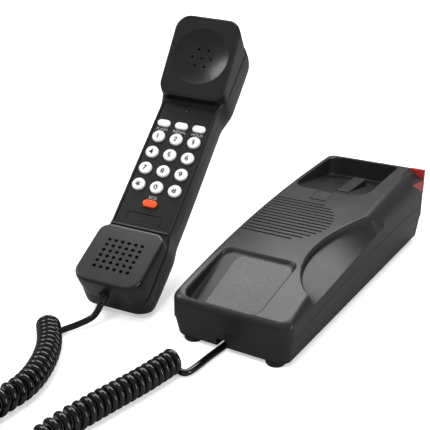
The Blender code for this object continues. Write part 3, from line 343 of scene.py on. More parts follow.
def spread(points, spacing):
    """Evenly spaced points on a smooth curve through the given ones."""
    points = [Vector(p) for p in points]
    fine = []
    for i in range(len(points) - 1):
        before, after = points[max(i - 1, 0)], points[min(i + 2, len(points) - 1)]
        a, b = points[i], points[i + 1]
        for k in range(24):
            t = k / 24
            slope_a, slope_b = (b - before) / 2, (after - a) / 2
            fine.append(a * (1 + 2 * t) * (1 - t) ** 2 + b * t * t * (3 - 2 * t)
                        + slope_a * t * (1 - t) ** 2 - slope_b * t * t * (1 - t))
    fine.append(points[-1])
    lengths = [0.0]
    for a, b in zip(fine, fine[1:]):
        lengths.append(lengths[-1] + (b - a).length)
    count = max(2, round(lengths[-1] / spacing))
    result, k = [], 0
    for i in range(count + 1):
        target = lengths[-1] * i / count
        while k < len(fine) - 2 and lengths[k + 1] < target:
            k += 1
        share = (target - lengths[k]) / (lengths[k + 1] - lengths[k])
        result.append(fine[k].lerp(fine[k + 1], min(share, 1.0)))
    return result


def level_direction(step):
    return Vector((step.x, step.y, 0)).normalized()


def handset_lead(coil, handset_frame):
    """The straight lead from the coil's end up to the plug in the mouthpiece end."""
    socket = handset_frame @ (Vector(HANDSET_SOCKET) + Vector((0, -6.8 * MM, -0.6 * MM)))
    out = handset_frame.to_3x3() @ Vector((0, -1, -0.1))
    bend = socket + out * LEAD_BEND
    leave = level_direction(coil[-1] - coil[-2])
    low_bend = Vector((bend.x - 3 * MM, bend.y, max(bend.z, 4 * MM)))
    return [coil[-1] + leave * LEAD_GAP, coil[-1] + leave * 9 * MM, low_bend, socket]


def half_width(y):
    ear = (EAR_HALF - HANDLE_HALF) * smooth_step(y, *EAR_BLEND)
    mouth = (MOUTH_HALF - HANDLE_HALF) * smooth_step(y, *MOUTH_BLEND)
    return HANDLE_HALF + ear + mouth


def ear_face(x, y):
    return EAR_FACE_Z + EAR_SLOPE * (y - EAR_FACE_Y)


def mouth_face(x, y):
    return MOUTH_FACE_Z + MOUTH_SLOPE * (y - MOUTH_FACE_Y)


def key_places():
    """Every key as (name, x, y, half sizes or None when round)."""
    places = []
    for row, y in zip(KEY_NAMES, KEY_ROWS):
        for column, name in enumerate(row):
            places.append((f"key_{name}", (column - 1) * KEY_PITCH_X, y, None))
    for column, name in enumerate(FUNCTION_NAMES):
        places.append((f"key_{name}", (column - 1) * KEY_PITCH_X, FUNCTION_Y, FUNCTION_HALF))
    places.append(("key_sos", 0.0, SOS_Y, SOS_HALF))
    return places


def back_line(y):
    return hermite(BACK_LINE, y)


# ---------------------------------------------------------------- making pieces


HOME = Matrix.Translation([-c for c in ORIGIN])
POSE = Matrix.Translation(HANDSET_PLACE) @ Euler([math.radians(a) for a in HANDSET_TURN]).to_matrix().to_4x4()
SMOOTH_ANGLE = math.radians(32)


def mesh_object(name, bm, place=(0, 0, 0), turn=(0, 0, 0), local=None):
    """A smooth-shaded object from a bmesh, placed in its own frame and then in the local one."""
    bmesh.ops.recalc_face_normals(bm, faces=bm.faces)
    for face in bm.faces:
        face.smooth = True
    mesh = bpy.data.meshes.new(name)
    bm.to_mesh(mesh)
    bm.free()
    own = Matrix.Translation(place) @ Euler([math.radians(a) for a in turn]).to_matrix().to_4x4()
    mesh.transform(HOME @ (local or Matrix.Identity(4)) @ own)
    made = bpy.data.objects.new(name, mesh)
    bpy.context.scene.collection.objects.link(made)
    return made


def cut(piece, others, operation="DIFFERENCE"):
    """Apply a Boolean with each of the other objects, which are then removed."""
    for other in others:
        step = piece.modifiers.new("step", "BOOLEAN")
        step.object, step.operation, step.solver = other, operation, "MANIFOLD"
        bake_shape(piece)
        bpy.data.objects.remove(other, do_unlink=True)


def bake_shape(piece):
    """Replace the piece's mesh by its evaluated one and drop its modifiers."""
    evaluated = piece.evaluated_get(bpy.context.evaluated_depsgraph_get())
    mesh = bpy.data.meshes.new_from_object(evaluated)
    piece.modifiers.clear()
    piece.data = mesh


def soften(piece, width, segments=2, angle=35):
    """Round the piece's sharp edges."""
    step = piece.modifiers.new("round", "BEVEL")
    step.width, step.segments, step.limit_method = width, segments, "ANGLE"
    step.angle_limit, step.use_clamp_overlap = math.radians(angle), True
    bake_shape(piece)


def finish_look(piece, look, nodes):
    """Give the piece its material, and hide the CAD nodes it stands for."""
    piece.data.materials.clear()
    piece.data.materials.append(LOOKS[look])
    if nodes:
        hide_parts(*nodes)


def dress(piece, look, body, *nodes, angle=SMOOTH_ANGLE):
    """Give the piece its shading, look and body."""
    for face in piece.data.polygons:
        face.use_smooth = True
    piece.data.set_sharp_from_angle(angle=angle)
    shading = piece.modifiers.new("shading", "WEIGHTED_NORMAL")
    shading.keep_sharp = True
    bake_shape(piece)
    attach(piece, body)
    finish_look(piece, look, nodes)


def bend_between(piece, look, nodes):
    """Give the piece its look, with its mesh moved into place in the world frame."""
    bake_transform(piece)
    finish_look(piece, look, nodes)


# ---------------------------------------------------------------- materials


def node(tree, kind, operation=None, **inputs):
    """A new node whose inputs are other nodes' outputs or fixed values."""
    made = tree.nodes.new(kind)
    if operation:
        made.operation = operation
    for key, value in inputs.items():
        feed(tree, value, made.inputs[key.replace("_", " ")])
    return made


def feed(tree, value, socket):
    """Set a socket to a fixed value, or link another node's output to it."""
    if isinstance(value, bpy.types.NodeSocket):
        tree.links.new(value, socket)
    else:
        socket.default_value = value


def grain(tree, scale, detail=3.0, roughness=0.6):
    """Object-space noise of a given scale."""
    place = tree.nodes.new("ShaderNodeTexCoord").outputs["Object"]
    return node(tree, "ShaderNodeTexNoise", Vector=place, Scale=scale, Detail=detail,
                Roughness=roughness).outputs["Fac"]


def ramp(tree, source, low, high, start=0.0, end=1.0):
    """A source turned into a range of greys or colours."""
    made = node(tree, "ShaderNodeValToRGB", Fac=source)
    for stop, position, value in zip(made.color_ramp.elements, (start, end), (low, high)):
        stop.position = position
        stop.color = (*value, 1.0) if isinstance(value, tuple) else (value, value, value, 1.0)
    return made.outputs["Color"]


def mixed(tree, first, second, factor, blend="MIX"):
    """Two colours blended by a factor."""
    made = tree.nodes.new("ShaderNodeMix")
    made.data_type, made.blend_type = "RGBA", blend
    for key, value in (("Factor", factor), ("A", first), ("B", second)):
        feed(tree, value, made.inputs[key])
    return made.outputs["Result"]


def edge_lean(tree, reach):
    """1 on flat surfaces and less near outer edges, with the normal that is rounded over the edges."""
    rounded = node(tree, "ShaderNodeBevel", Radius=reach)
    rounded.samples = 4
    lean = node(tree, "ShaderNodeVectorMath", "DOT_PRODUCT")
    tree.links.new(rounded.outputs["Normal"], lean.inputs[0])
    tree.links.new(tree.nodes.new("ShaderNodeNewGeometry").outputs["Normal"], lean.inputs[1])
    return lean.outputs["Value"], rounded.outputs["Normal"]


def scaled(colour, by):
    return tuple(min(c * by, 1.0) for c in colour)


def moulded(name, colour, roughness, bump, texture, edge, mottling=0.06, coat=0.0):
    """Injection-moulded plastic: fine spark texture, faint mottling, edges lightened partly as wear and
    partly as a painted highlight.
    """
    made = bpy.data.materials.new(name)
    made.use_nodes = True
    tree = made.node_tree
    shader = tree.nodes["Principled BSDF"]
    lean, rounded_normal = edge_lean(tree, 0.45 * MM)
    fine, broad = grain(tree, texture, 2.0, 0.55), grain(tree, 45.0, 4.0, 0.6)
    darker = tuple(c * (1 - mottling) for c in colour)
    tone = ramp(tree, broad, darker, scaled(colour, 1 + mottling), 0.3, 0.7)
    fleck = ramp(tree, fine, 1 - 2.2 * mottling, 1 + 2.2 * mottling, 0.35, 0.65)
    surface = mixed(tree, tone, fleck, 1.0, "MULTIPLY")
    # near outer edges the colour is raised by the edge factor: partly wear, partly a painted highlight
    # standing in for glints along rounded edges
    wear_and_highlight = mixed(tree, surface, (*scaled(colour, edge), 1.0), ramp(tree, lean, 1.0, 0.0, 0.86, 0.995))
    relief = node(tree, "ShaderNodeBump", Strength=bump, Distance=0.12 * MM, Height=fine,
                  Normal=rounded_normal)
    finish = {
        "Base Color": wear_and_highlight,
        "Roughness": ramp(tree, broad, roughness - 0.04, roughness + 0.04, 0.3, 0.7),
        "Normal": relief.outputs["Normal"],
        "Coat Weight": coat,
        "Coat Roughness": 0.12,
    }
    for key, value in finish.items():
        feed(tree, value, shader.inputs[key])
    return made


def lens_material():
    made = moulded("lens_red", (0.42, 0.03, 0.028), 0.22, 0.03, 900.0, 1.3, 0.05, 0.5)
    shader = made.node_tree.nodes["Principled BSDF"]
    shader.inputs["Subsurface Weight"].default_value = 0.15
    shader.inputs["Subsurface Radius"].default_value = (0.004, 0.001, 0.001)
    return made


def metal(name, colour, roughness):
    made = moulded(name, colour, roughness, 0.05, 1800.0, 1.1, 0.03)
    made.node_tree.nodes["Principled BSDF"].inputs["Metallic"].default_value = 1.0
    return made


# each look's fifth number lightens its outer edges, partly as wear and partly as a painted highlight
LOOKS = {
    "base": moulded("charcoal_base", (0.016, 0.016, 0.017), 0.36, 0.22, 2400.0, 3.0),
    "handset": moulded("charcoal_handset", (0.010, 0.010, 0.011), 0.33, 0.18, 2400.0, 4.0, coat=0.12),
    "panel": moulded("charcoal_keypad_panel", (0.005, 0.005, 0.0055), 0.45, 0.16, 2200.0, 1.3),
    # the recess field's grey, far lighter than the charcoal shell, is painted light for the light its
    # forward-tilted floor catches
    "recess": moulded("charcoal_speckled", (0.11, 0.11, 0.112), 0.48, 0.6, 1500.0, 1.2, 0.12),
    "black": moulded("black_plastic", (0.011, 0.011, 0.012), 0.38, 0.1, 2000.0, 1.5),
    "white": moulded("key_white", (0.88, 0.88, 0.86), 0.34, 0.05, 1500.0, 1.05, 0.015, 0.15),
    "orange": moulded("key_orange", (0.83, 0.10, 0.022), 0.32, 0.05, 1500.0, 1.1, 0.02, 0.2),
    "lens": lens_material(),
    "cord": moulded("cord_vinyl", (0.003, 0.003, 0.0035), 0.16, 0.04, 700.0, 1.2, 0.05, 0.35),
    "rubber": moulded("rubber", (0.02, 0.02, 0.021), 0.8, 0.4, 1700.0, 1.1),
    "steel": metal("steel", (0.6, 0.6, 0.6), 0.32),
    "board": moulded("circuit_green", (0.02, 0.13, 0.045), 0.35, 0.2, 900.0, 1.1, 0.12, 0.3),
    "ink_dark": moulded("print_dark", (0.01, 0.01, 0.011), 0.6, 0.05, 1500.0, 1.0),
    "ink_faint": moulded("print_grey", (0.28, 0.28, 0.28), 0.5, 0.05, 1500.0, 1.0),
    "ink_light": moulded("print_light", (0.62, 0.62, 0.62), 0.5, 0.05, 1500.0, 1.0),
}


# ---------------------------------------------------------------- finer outlines


CORNER_STEPS = 10


def outline(bounds, radii, side_steps, corner_steps=CORNER_STEPS):
    """Right and left points of a rounded rectangle, front to back."""
    x0, x1, y0, y1 = bounds
    front_left, front_right, back_left, back_right = radii
    right, left = [], []
    walls = (right, x1, 1, front_right, back_right), (left, x0, -1, front_left, back_left)
    for points, x, sign, front, back in walls:
        for i in range(corner_steps + 1):
            a = math.pi / 2 * i / corner_steps
            points.append((x - sign * front * (1 - math.sin(a)), y0 + front * (1 - math.cos(a))))
        for i in range(1, side_steps):
            points.append((x, y0 + front + (y1 - y0 - front - back) * i / side_steps))
        for i in range(corner_steps + 1):
            a = math.pi / 2 * i / corner_steps
            points.append((x - sign * back * (1 - math.cos(a)), y1 - back * (1 - math.sin(a))))
    return right, left


def prism(bounds, radii, low, high, side_steps=16, rim=0.0, rim_from=None, foot=0.0):
    """A rounded-rectangle body between two heights, its rim rounded outwards and its foot inwards."""
    sides = outline(bounds, radii, side_steps)
    rings = []
    for i in range(5 if foot else 0):
        a = math.pi / 2 * i / 5
        drawn = drawn_in(sides, foot * (1 - math.sin(a)))
        rings.append(ring(drawn, lambda x, y, k=foot * (1 - math.cos(a)): low(x, y) + k))
    rings.append(ring(sides, lambda x, y: low(x, y) + foot))
    top = sides
    for i in range(6 if rim else 0):
        a = math.radians(15) * i
        top = drawn_in(sides, -rim * (1 - math.cos(a)))
        rings.append(ring(top, lambda x, y, k=rim * (1 - math.sin(a)): rim_from(x, y) - k))
    rings.append(ring(top, high))
    return loft(rings)


# ---------------------------------------------------------------- base


def base_outline(inset):
    corners = (FRONT_RADIUS, FRONT_RADIUS, BACK_LEFT_RADIUS, BACK_RIGHT_RADIUS)
    radii = [max(radius - inset, 0.4 * MM) for radius in corners]
    across, length = BASE_HALF_WIDTH - inset, BASE_HALF_LENGTH - inset
    return outline((-across, across, -length, length), radii, 56)


def edge_weights(sides):
    """How far each ring point belongs to a side wall (1) or an end wall (0)."""
    count = len(sides[0])
    weights = []
    for i in range(count):
        corner = min(min(i, count - 1 - i) / CORNER_STEPS, 1.0)
        weights.append(corner ** 2 * (3 - 2 * corner))
    return weights + weights[::-1]


def upper_body(inset, lower, bottom, round_steps):
    """The top shell's outside, or the same form drawn in by inset and lowered for its hollow."""
    sides = base_outline(inset)
    weights = edge_weights(sides)
    rings = [ring(sides, bottom)]
    for step in range(round_steps):
        a = math.pi / 2 * step / (round_steps - 1)
        across, down = 1 - math.cos(a), 1 - math.sin(a)
        drawn = shrink(sides, LEFT_ROUND * across, lambda y, k=across: right_round(y) * k,
                       FRONT_ROUND * across, BACK_ROUND * across)
        points = []
        for (x, y, _), weight in zip(ring(drawn, lambda x, y: 0), weights):
            side_drop = top_height(y) - shoulder_height(y) if x > 0 else LEFT_ROUND
            end_drop = FRONT_ROUND if y < 0 else BACK_ROUND
            drop = (weight * side_drop + (1 - weight) * end_drop) * down
            points.append((x, y, top_height(y) - lower - drop))
        rings.append(points)
    return loft(rings)


def ledge_body(grow, lower, steps):
    """The finger ledge's removed volume, or a larger copy of it that keeps wall under the ledge."""
    beyond = BASE_HALF_WIDTH + 3 * MM
    levels = [(0, None), (0, -LEDGE_FLARE)]
    for i in range(1, 7):
        a = math.radians(14) * i
        levels.append((LEDGE_FLARE * (1 - math.cos(a)), -LEDGE_FLARE * (1 - math.sin(a)) + 0.03 * MM))
    rings = []
    for out, from_top in levels:
        right, left = [], []
        for i in range(steps + 1):
            y = LEDGE_FRONT + (LEDGE_BACK - LEDGE_FRONT) * (0.001 + 0.998 * i / steps)
            depth = ledge_depth(y)
            flare = (out + grow) * min(1.0, depth / (4 * MM) + 0.15)
            left.append((BASE_HALF_WIDTH - depth - flare, y))
            right.append((beyond, y))

        def height(x, y, from_top=from_top):
            depth = max(ledge_depth(y), 3 * MM)
            inner = top_height(y) - LEDGE_DROP
            if from_top is not None:
                return top_height(y) + from_top
            slope = (shoulder_height(y) - inner) / depth
            return inner + slope * (x - BASE_HALF_WIDTH + depth) - lower

        rings.append(ring((right, left), height))
    top = [(x, y, top_height(y) + 4 * MM) for x, y, _ in rings[-1]]
    return loft(rings + [top])


def cross_slabs(y0, y1, x_at, low, high, steps=1):
    """A body swept front to back whose section follows x positions across it."""
    bm = bmesh.new()
    rows = []
    for i in range(steps + 1):
        y = y0 + (y1 - y0) * i / steps
        xs = x_at(y)
        rows.append([bm.verts.new((x, y, high(x, y))) for x in xs]
                    + [bm.verts.new((x, y, low(x, y))) for x in reversed(xs)])
    count = len(rows[0])
    bm.faces.new(rows[0])
    bm.faces.new(reversed(rows[-1]))
    for front, back in zip(rows, rows[1:]):
        for i in range(count):
            j = (i + 1) % count
            bm.faces.new((front[j], front[i], back[i], back[j]))
    bmesh.ops.triangulate(bm, faces=bm.faces)
    return bm


def cap_xs(y, grow, beyond, steps=14):
    """Positions across the lamp cap, out to its slanting face."""
    end = lamp_face_x(y) + beyond
    return [LAMP_LEFT - grow + (end - LAMP_LEFT + grow) * i / steps for i in range(steps + 1)]


def top_shell():
    shell = mesh_object("base_top_cover", upper_body(0.0, 0.0, lambda x, y: parting_height(y) + GAP / 2, 14))
    hollow = mesh_object("hollow", upper_body(WALL, WALL, lambda x, y: parting_height(y) - 2 * MM, 4))
    keep = [
        prism(grown(POCKET, 2 * MM), (9 * MM,) * 4, lambda x, y: pocket_floor(x, y) - HOLLOW_FLOOR, above),
        prism((RECESS[0] - 2 * MM, RECESS[1] + 2 * MM, RECESS[2] - 8 * MM, RECESS[3] + 2 * MM), (6 * MM,) * 4,
              lambda x, y: recess_floor(x, y) - HOLLOW_FLOOR, above),
        box(TAB[0] - 2 * MM, TAB[1] + 2 * MM, TAB[2] - 3.5 * MM, TAB[3] + 1.7 * MM, 43.5 * MM, 60 * MM),
        box(LAMP_LEFT - 2.5 * MM, 40 * MM, LAMP_CAP_FRONT - 2.5 * MM, 110 * MM, 31 * MM, 60 * MM),
        ledge_body(2.3 * MM, 2.3 * MM, 15),
    ]
    cut(hollow, [mesh_object(f"keep_{i}", bm) for i, bm in enumerate(keep)])
    ledge = mesh_object("ledge", ledge_body(0.0, 0.0, 72))
    cutters = (
        prism(POCKET, POCKET_RADII, pocket_floor, above, 20, 1.0 * MM, lambda x, y: top_height(y), 2.2 * MM),
        prism(RECESS, RECESS_RADII, recess_floor, above, 20, 1.3 * MM, lambda x, y: top_height(y), 1.6 * MM),
        merged(slot_boxes()),
        box(HOOK[0] - GAP, HOOK[1] + GAP, HOOK[2] - HOOK_FRONT_SLOT, HOOK[3] + GAP, 30 * MM, 52 * MM),
        box(TAB[0] - GAP, TAB[1] + GAP, TAB[2] - TAB_FRONT_SLOT, TAB[3] + GAP,
            top_height(TAB[2]) - TAB_THICK - GAP, 60 * MM),
        cross_slabs(LAMP_CAP_FRONT - GAP, 109 * MM, lambda y: cap_xs(y, GAP, 4 * MM),
                    lambda x, y: cap_top(max(x, LAMP_LEFT), y) - CAP_THICK - GAP, lambda x, y: 60 * MM, 2),
        cross_slabs(LAMP_FRONT - GAP, 109 * MM, lambda y: [LAMP_LEFT - GAP, 39 * MM],
                    lambda x, y: lamp_bottom(x, y) - GAP, lambda x, y: 58 * MM),
        box(-17 * MM, -3 * MM, 100 * MM, 110 * MM, 31 * MM, 34.2 * MM),
    )
    cut(shell, [hollow, ledge] + [mesh_object(f"cutter_{i}", bm) for i, bm in enumerate(cutters)])
    dress(shell, "base", "base", "base_top_shell")


def recess_panel():
    """The slightly raised, coarser-textured field on the floor of the mouthpiece recess; its light grey is
    painted light, standing in for the light its forward-tilted floor catches.
    """
    bounds = (RECESS[0] + 9.5 * MM, RECESS[1] - 0.9 * MM, RECESS[2] + 3.2 * MM, RECESS[3] - 2.6 * MM)
    sides = outline(bounds, (5 * MM, 13 * MM, 5 * MM, 4.5 * MM), 12)
    rings = []
    for inset, rise in ((0, -0.6), (0, 0.25), (0.08, 0.4), (0.25, 0.52), (0.5, 0.56)):
        rings.append(ring(drawn_in(sides, inset * MM), lambda x, y, k=rise * MM: recess_floor(x, y) + k))
    dress(mesh_object("recess_textured_field", loft(rings)), "recess", "base")


def bottom_shell():
    sides = base_outline(0.0)
    band = lambda x, y: BAND_FRONT + BAND_RISE * along(y)
    outer = loft([
        ring(drawn_in(sides, SKIRT_TAPER + 1.0 * MM), lambda x, y: FOOT_HEIGHT),
        ring(drawn_in(sides, SKIRT_TAPER + 0.3 * MM), lambda x, y: FOOT_HEIGHT + 0.3 * MM),
        ring(drawn_in(sides, SKIRT_TAPER), lambda x, y: FOOT_HEIGHT + 1.0 * MM),
        ring(drawn_in(sides, 0.35 * MM), lambda x, y: band(x, y) - 0.5 * MM),
        ring(sides, band),
        ring(sides, lambda x, y: parting_height(y) - GAP / 2),
    ])
    shell = mesh_object("base_bottom_cover", outer)
    inner = base_outline(WALL)
    hollow = loft([ring(drawn_in(inner, SKIRT_TAPER), lambda x, y: FOOT_HEIGHT + WALL), ring(inner, band),
                   ring(inner, lambda x, y: parting_height(y) + 2 * MM)])
    cutters = [mesh_object("hollow", hollow), mesh_object("tunnel", box(*TUNNEL, 2 * MM, TUNNEL_TOP)),
               mesh_object("jack", box(9.7 * MM, 22.3 * MM, 100 * MM, 110 * MM, 7.7 * MM, 17.3 * MM))]
    for x, y in screw_places():
        hole = stepped_hole(3.3 * MM, 1.8 * MM, 2 * MM, 4.3 * MM, 7 * MM)
        cutters.append(mesh_object("screw", hole, (x, y, 0)))
    cut(shell, cutters)
    dress(shell, "base", "base", "base_bottom_shell")


def lamp_pieces():
    body = cross_slabs(LAMP_FRONT, BASE_HALF_LENGTH, lambda y: cap_xs(y, 0.0, 0.0), lamp_bottom,
                       lambda x, y: cap_top(x, y) - CAP_THICK - GAP, 6)
    lens = mesh_object("message_lamp_window", body)
    fin = box(LAMP_LEFT, BASE_HALF_WIDTH, LAMP_FIN_FRONT, BASE_HALF_LENGTH, 43 * MM, LAMP_TOP)
    cut(lens, [mesh_object("fin", fin)], "UNION")
    dress(lens, "lens", "base", "message_lamp_lens")
    cover = cross_slabs(LAMP_CAP_FRONT, LAMP_FIN_FRONT - GAP, lambda y: cap_xs(y, 0.0, 0.0),
                        lambda x, y: cap_top(x, y) - CAP_THICK, cap_top, 6)
    dress(mesh_object("lamp_cover", cover), "base", "base", "lamp_cap")


def hook_pieces():
    x0, x1, y0, y1 = HOOK
    bar = mesh_object("hook_bar", box(x0, x1, y0, y1, HOOK_TOP - HOOK_HEIGHT, HOOK_TOP))
    soften(bar, 0.9 * MM, 4)
    dress(bar, "base", "hook", "hook_switch_bar")
    tab = prism(TAB, (0.8 * MM,) * 4, lambda x, y: top_height(TAB[2]) - TAB_THICK,
                lambda x, y: top_height(y) - 0.1 * MM, 4)
    dress(mesh_object("wall_hook", tab), "base", "base", "wall_hook_tab")


def volume_slider():
    """The ringer volume knob on the back wall, with grip grooves."""
    knob = box(-2.6 * MM, 2.6 * MM, -5 * MM, 1.4 * MM, -1.3 * MM, 1.3 * MM)
    knob = mesh_object("volume_slider", knob, VOLUME_PLACE)
    soften(knob, 0.35 * MM, 3)
    grooves = []
    for x in (-1.4 * MM, -0.5 * MM, 0.4 * MM, 1.3 * MM):
        grooves.append(box(x - 0.2 * MM, x + 0.2 * MM, 1.1 * MM, 2 * MM, -2 * MM, 2 * MM))
    cut(knob, [mesh_object("grooves", merged(grooves), VOLUME_PLACE)])
    dress(knob, "black", "volume", "volume_knob")


# ---------------------------------------------------------------- cord


ROUND_END = ((0.75, 0.55), (0.35, 0.88))  # rings past a wire's end, tip first, as (distance, size) in radii


def directions(points):
    """The unit direction of travel at each point."""
    last = len(points) - 1
    return [(points[min(i + 1, last)] - points[max(i - 1, 0)]).normalized() for i in range(last + 1)]


def tube(name, points, radius, sides, local=None):
    """A round wire swept along points with rounded-off closed ends."""
    bm = bmesh.new()
    tangents = directions(points)
    first, last = tangents[0], tangents[-1]
    stations = [(points[0] + first * radius * -out, first, size) for out, size in ROUND_END]
    stations += [(p, t, 1.0) for p, t in zip(points, tangents)]
    stations += [(points[-1] + last * radius * out, last, size) for out, size in reversed(ROUND_END)]
    normal = first.orthogonal().normalized()
    rows = []
    for place, tangent, size in stations:
        normal = (normal - tangent * normal.dot(tangent)).normalized()
        across = tangent.cross(normal)
        row = []
        for k in range(sides):
            a = math.tau * k / sides
            row.append(bm.verts.new(place + (normal * math.cos(a) + across * math.sin(a)) * radius * size))
        rows.append(row)
    for low, high in zip(rows, rows[1:]):
        for k in range(sides):
            j = (k + 1) % sides
            bm.faces.new((low[k], low[j], high[j], high[k]))
    bm.faces.new(reversed(rows[0]))
    bm.faces.new(rows[-1])
    return mesh_object(name, bm, local=local)


def hook_spring():
    """The spring under the hook switch bar."""
    foot = Vector((*SPRING_MIDDLE, SPRING_FOOT))
    top = Vector((*SPRING_MIDDLE, HOOK_TOP - HOOK_HEIGHT - SPRING_TOP_GAP))
    count = SPRING_TURNS * SPRING_TURN_POINTS
    points = []
    for i in range(count + 1):
        a = math.tau * i / SPRING_TURN_POINTS
        across = Vector((math.cos(a), math.sin(a), 0)) * SPRING_RADIUS
        points.append(foot.lerp(top, i / count) + across)
    wire = tube("hook_spring", points, SPRING_WIRE, 8)
    bend_between(wire, "steel", ("hook_return_spring",))


def coil_points(per_turn):
    """Points of the helix laid along the cord's path, its turns closer together away from the loop."""
    path = spread([(x * MM, y * MM, COIL_HEIGHT) for x, y in COIL_PATH], COIL_PITCH / COIL_POINTS)
    path = path[:len(path) - (len(path) - 1) % COIL_POINTS]
    turns = [0.0]
    for a, b in zip(path, path[1:]):
        tight = smooth_step(a.y, *LOOP_EDGE)
        turns.append(turns[-1] + (b - a).length / (COIL_PITCH + (COIL_TIGHT_PITCH - COIL_PITCH) * tight))
    count = round(turns[-1]) * per_turn
    headings = directions(path)
    points, k = [], 0
    for i in range(count + 1):
        target = turns[-1] * i / count
        while k < len(path) - 2 and turns[k + 1] < target:
            k += 1
        share = (target - turns[k]) / (turns[k + 1] - turns[k])
        across = Vector((0, 0, 1)).cross(headings[k].lerp(headings[k + 1], share).normalized())
        a = -math.tau * (i / per_turn + 0.25)
        points.append(path[k].lerp(path[k + 1], share)
                      + COIL_RADIUS * (across * math.cos(a) + Vector((0, 0, 1)) * math.sin(a)))
    return points


def cord():
    """The coil, the base's lead, and the handset's lead in three tubes; the first two ride with the base."""
    rough = coil_points(COIL_POINTS)
    dress(tube("coiled_cord", coil_points(COIL_FINE_POINTS), CORD_RADIUS, 12), "cord", "base", "cord_coil")
    start, arrive = rough[0], level_direction(rough[1] - rough[0])
    lead = [Vector(p) * MM for p in BASE_LEAD]
    lead += [start - arrive * 8 * MM, start - arrive * LEAD_GAP, start]
    dress(tube("base_lead", spread(lead, 1.2 * MM), CORD_RADIUS, 20), "cord", "base", "cord_base_lead")
    path = spread([rough[-1]] + handset_lead(rough, POSE), 0.4 * MM)
    low, high = round(len(path) * LEAD_SPLIT), round(len(path) * (1 - LEAD_SPLIT))
    spans = (("handset_lead_low", path[:low + 1], "base", "cord_lower", ("cord_lead_lower",)),
             ("handset_lead_middle", path[low:high + 1], "cord_lower", "cord_upper", ()),
             ("handset_lead_high", path[high:], "cord_upper", "handset", ("cord_lead_upper",)))
    for name, points, lower, upper, nodes in spans:
        bend_between(tube(name, points, CORD_RADIUS, 20), "cord", nodes)


# ---------------------------------------------------------------- handset


def handset_outline(inset=0.0):
    """Dog-bone outline seen from the front, as right and left points."""
    y0, y1 = MOUTH_END + inset, EAR_END - inset
    mouth, ear = MOUTH_CORNER - inset, EAR_CORNER - inset
    right = []
    for i in range(CORNER_STEPS + 1):
        a = math.pi / 2 * i / CORNER_STEPS
        right.append((MOUTH_HALF - inset - mouth * (1 - math.sin(a)), y0 + mouth * (1 - math.cos(a))))
    for i in range(1, 72):
        y = y0 + mouth + (y1 - ear - y0 - mouth) * i / 72
        right.append((half_width(y) - inset, y))
    for i in range(CORNER_STEPS + 1):
        a = math.pi / 2 * i / CORNER_STEPS
        right.append((EAR_HALF - inset - ear * (1 - math.cos(a)), y1 - ear * (1 - math.sin(a))))
    return right, [(-x, y) for x, y in right]


EAR_LEVELS = ((0, 0, 0, 0), (0.86, 0.3, 0.2, 0.9), (0.94, 0.5, 0.5, 1.3), (0.985, 0.8, 1.0, 1.9),
              (1, 1.4, 1.8, 2.9))
MOUTH_LEVELS = ((0, 0, 0, 0), (0.5, 0.15, 0.5, 0.1), (0.8, 0.35, 0.9, 0.3), (0.93, 0.6, 1.3, 0.6),
                (0.98, 1.0, 1.9, 1.0), (1, 1.7, 2.8, 1.8))


def smoothed(levels, count):
    """More levels on smooth curves through the given ones."""
    result = []
    for i in range(count + 1):
        s = (len(levels) - 1) * i / count
        result.append([hermite([(k, level[c]) for k, level in enumerate(levels)], s) for c in range(4)])
    return result


def pad(bounds, radii, face, levels, bottom):
    """A raised pad: each level is (share of its height, side inset, front inset, back inset)."""
    sides = outline(bounds, radii, 20)
    rings = []
    for share, side, front, back in smoothed(levels, 14):
        drawn = shrink(sides, side * MM, side * MM, front * MM, back * MM)
        rings.append(ring(drawn, lambda x, y, k=share: bottom + (face(x, y) - bottom) * k))
    return loft(rings)


def local(name, bm, place=(0, 0, 0), turn=(0, 0, 0)):
    """An object given in the handset's own frame."""
    return mesh_object(name, bm, place, turn, POSE)


def handset_front():
    sides = handset_outline()
    rings = [ring(sides, lambda x, y: PARTING + GAP / 2)]
    for height, inset in smoothed_rim():
        drawn = shrink(sides, inset * MM, inset * MM, (inset + 0.9) * MM, (inset + 0.6) * MM)
        rings.append(ring(drawn, lambda x, y, z=height: z * MM))
    shell = local("handset_front_cover", loft(rings))
    ear = pad(EAR_PAD, (8 * MM, 8 * MM, 10 * MM, 10 * MM), ear_face, EAR_LEVELS, -3 * MM)
    mouth = pad(MOUTH_PAD, (9 * MM, 9 * MM, 7 * MM, 7 * MM), mouth_face, MOUTH_LEVELS, -3.4 * MM)
    cut(shell, [local("ear", ear), local("mouth", mouth)], "UNION")
    cut(shell, handset_hollows() + face_cutters() + [key_holes()])
    dress(shell, "handset", "handset", "handset_front_shell", angle=math.radians(18))


def smoothed_rim():
    points = ((0, -1.2, 0.3), (1, 0.1, 0.6), (2, 0.65, 1.1), (3, 0.9, 1.8))
    heights, insets = [(k, h) for k, h, _ in points], [(k, i) for k, _, i in points]
    return [(hermite(heights, k / 3), hermite(insets, k / 3)) for k in range(10)]


def handset_hollows():
    inner = handset_outline(HANDLE_WALL)
    handle = loft([ring(inner, lambda x, y: PARTING - 2 * MM), ring(inner, lambda x, y: -PANEL_SKIN)])
    ear = prism(grown(EAR_PAD, -3.4 * MM), (7 * MM,) * 4, lambda x, y: -4 * MM,
                lambda x, y: ear_face(x, y) - EAR_SKIN, 6)
    left, right, _, back = grown(MOUTH_PAD, -3.2 * MM)
    mouth = prism((left, right, MOUTH_PAD[2] + 8 * MM, back), (6 * MM,) * 4, lambda x, y: -4.2 * MM,
                  lambda x, y: mouth_face(x, y) - MOUTH_SKIN, 6)
    return [local("hollow_handle", handle), local("hollow_ear", ear), local("hollow_mouth", mouth)]


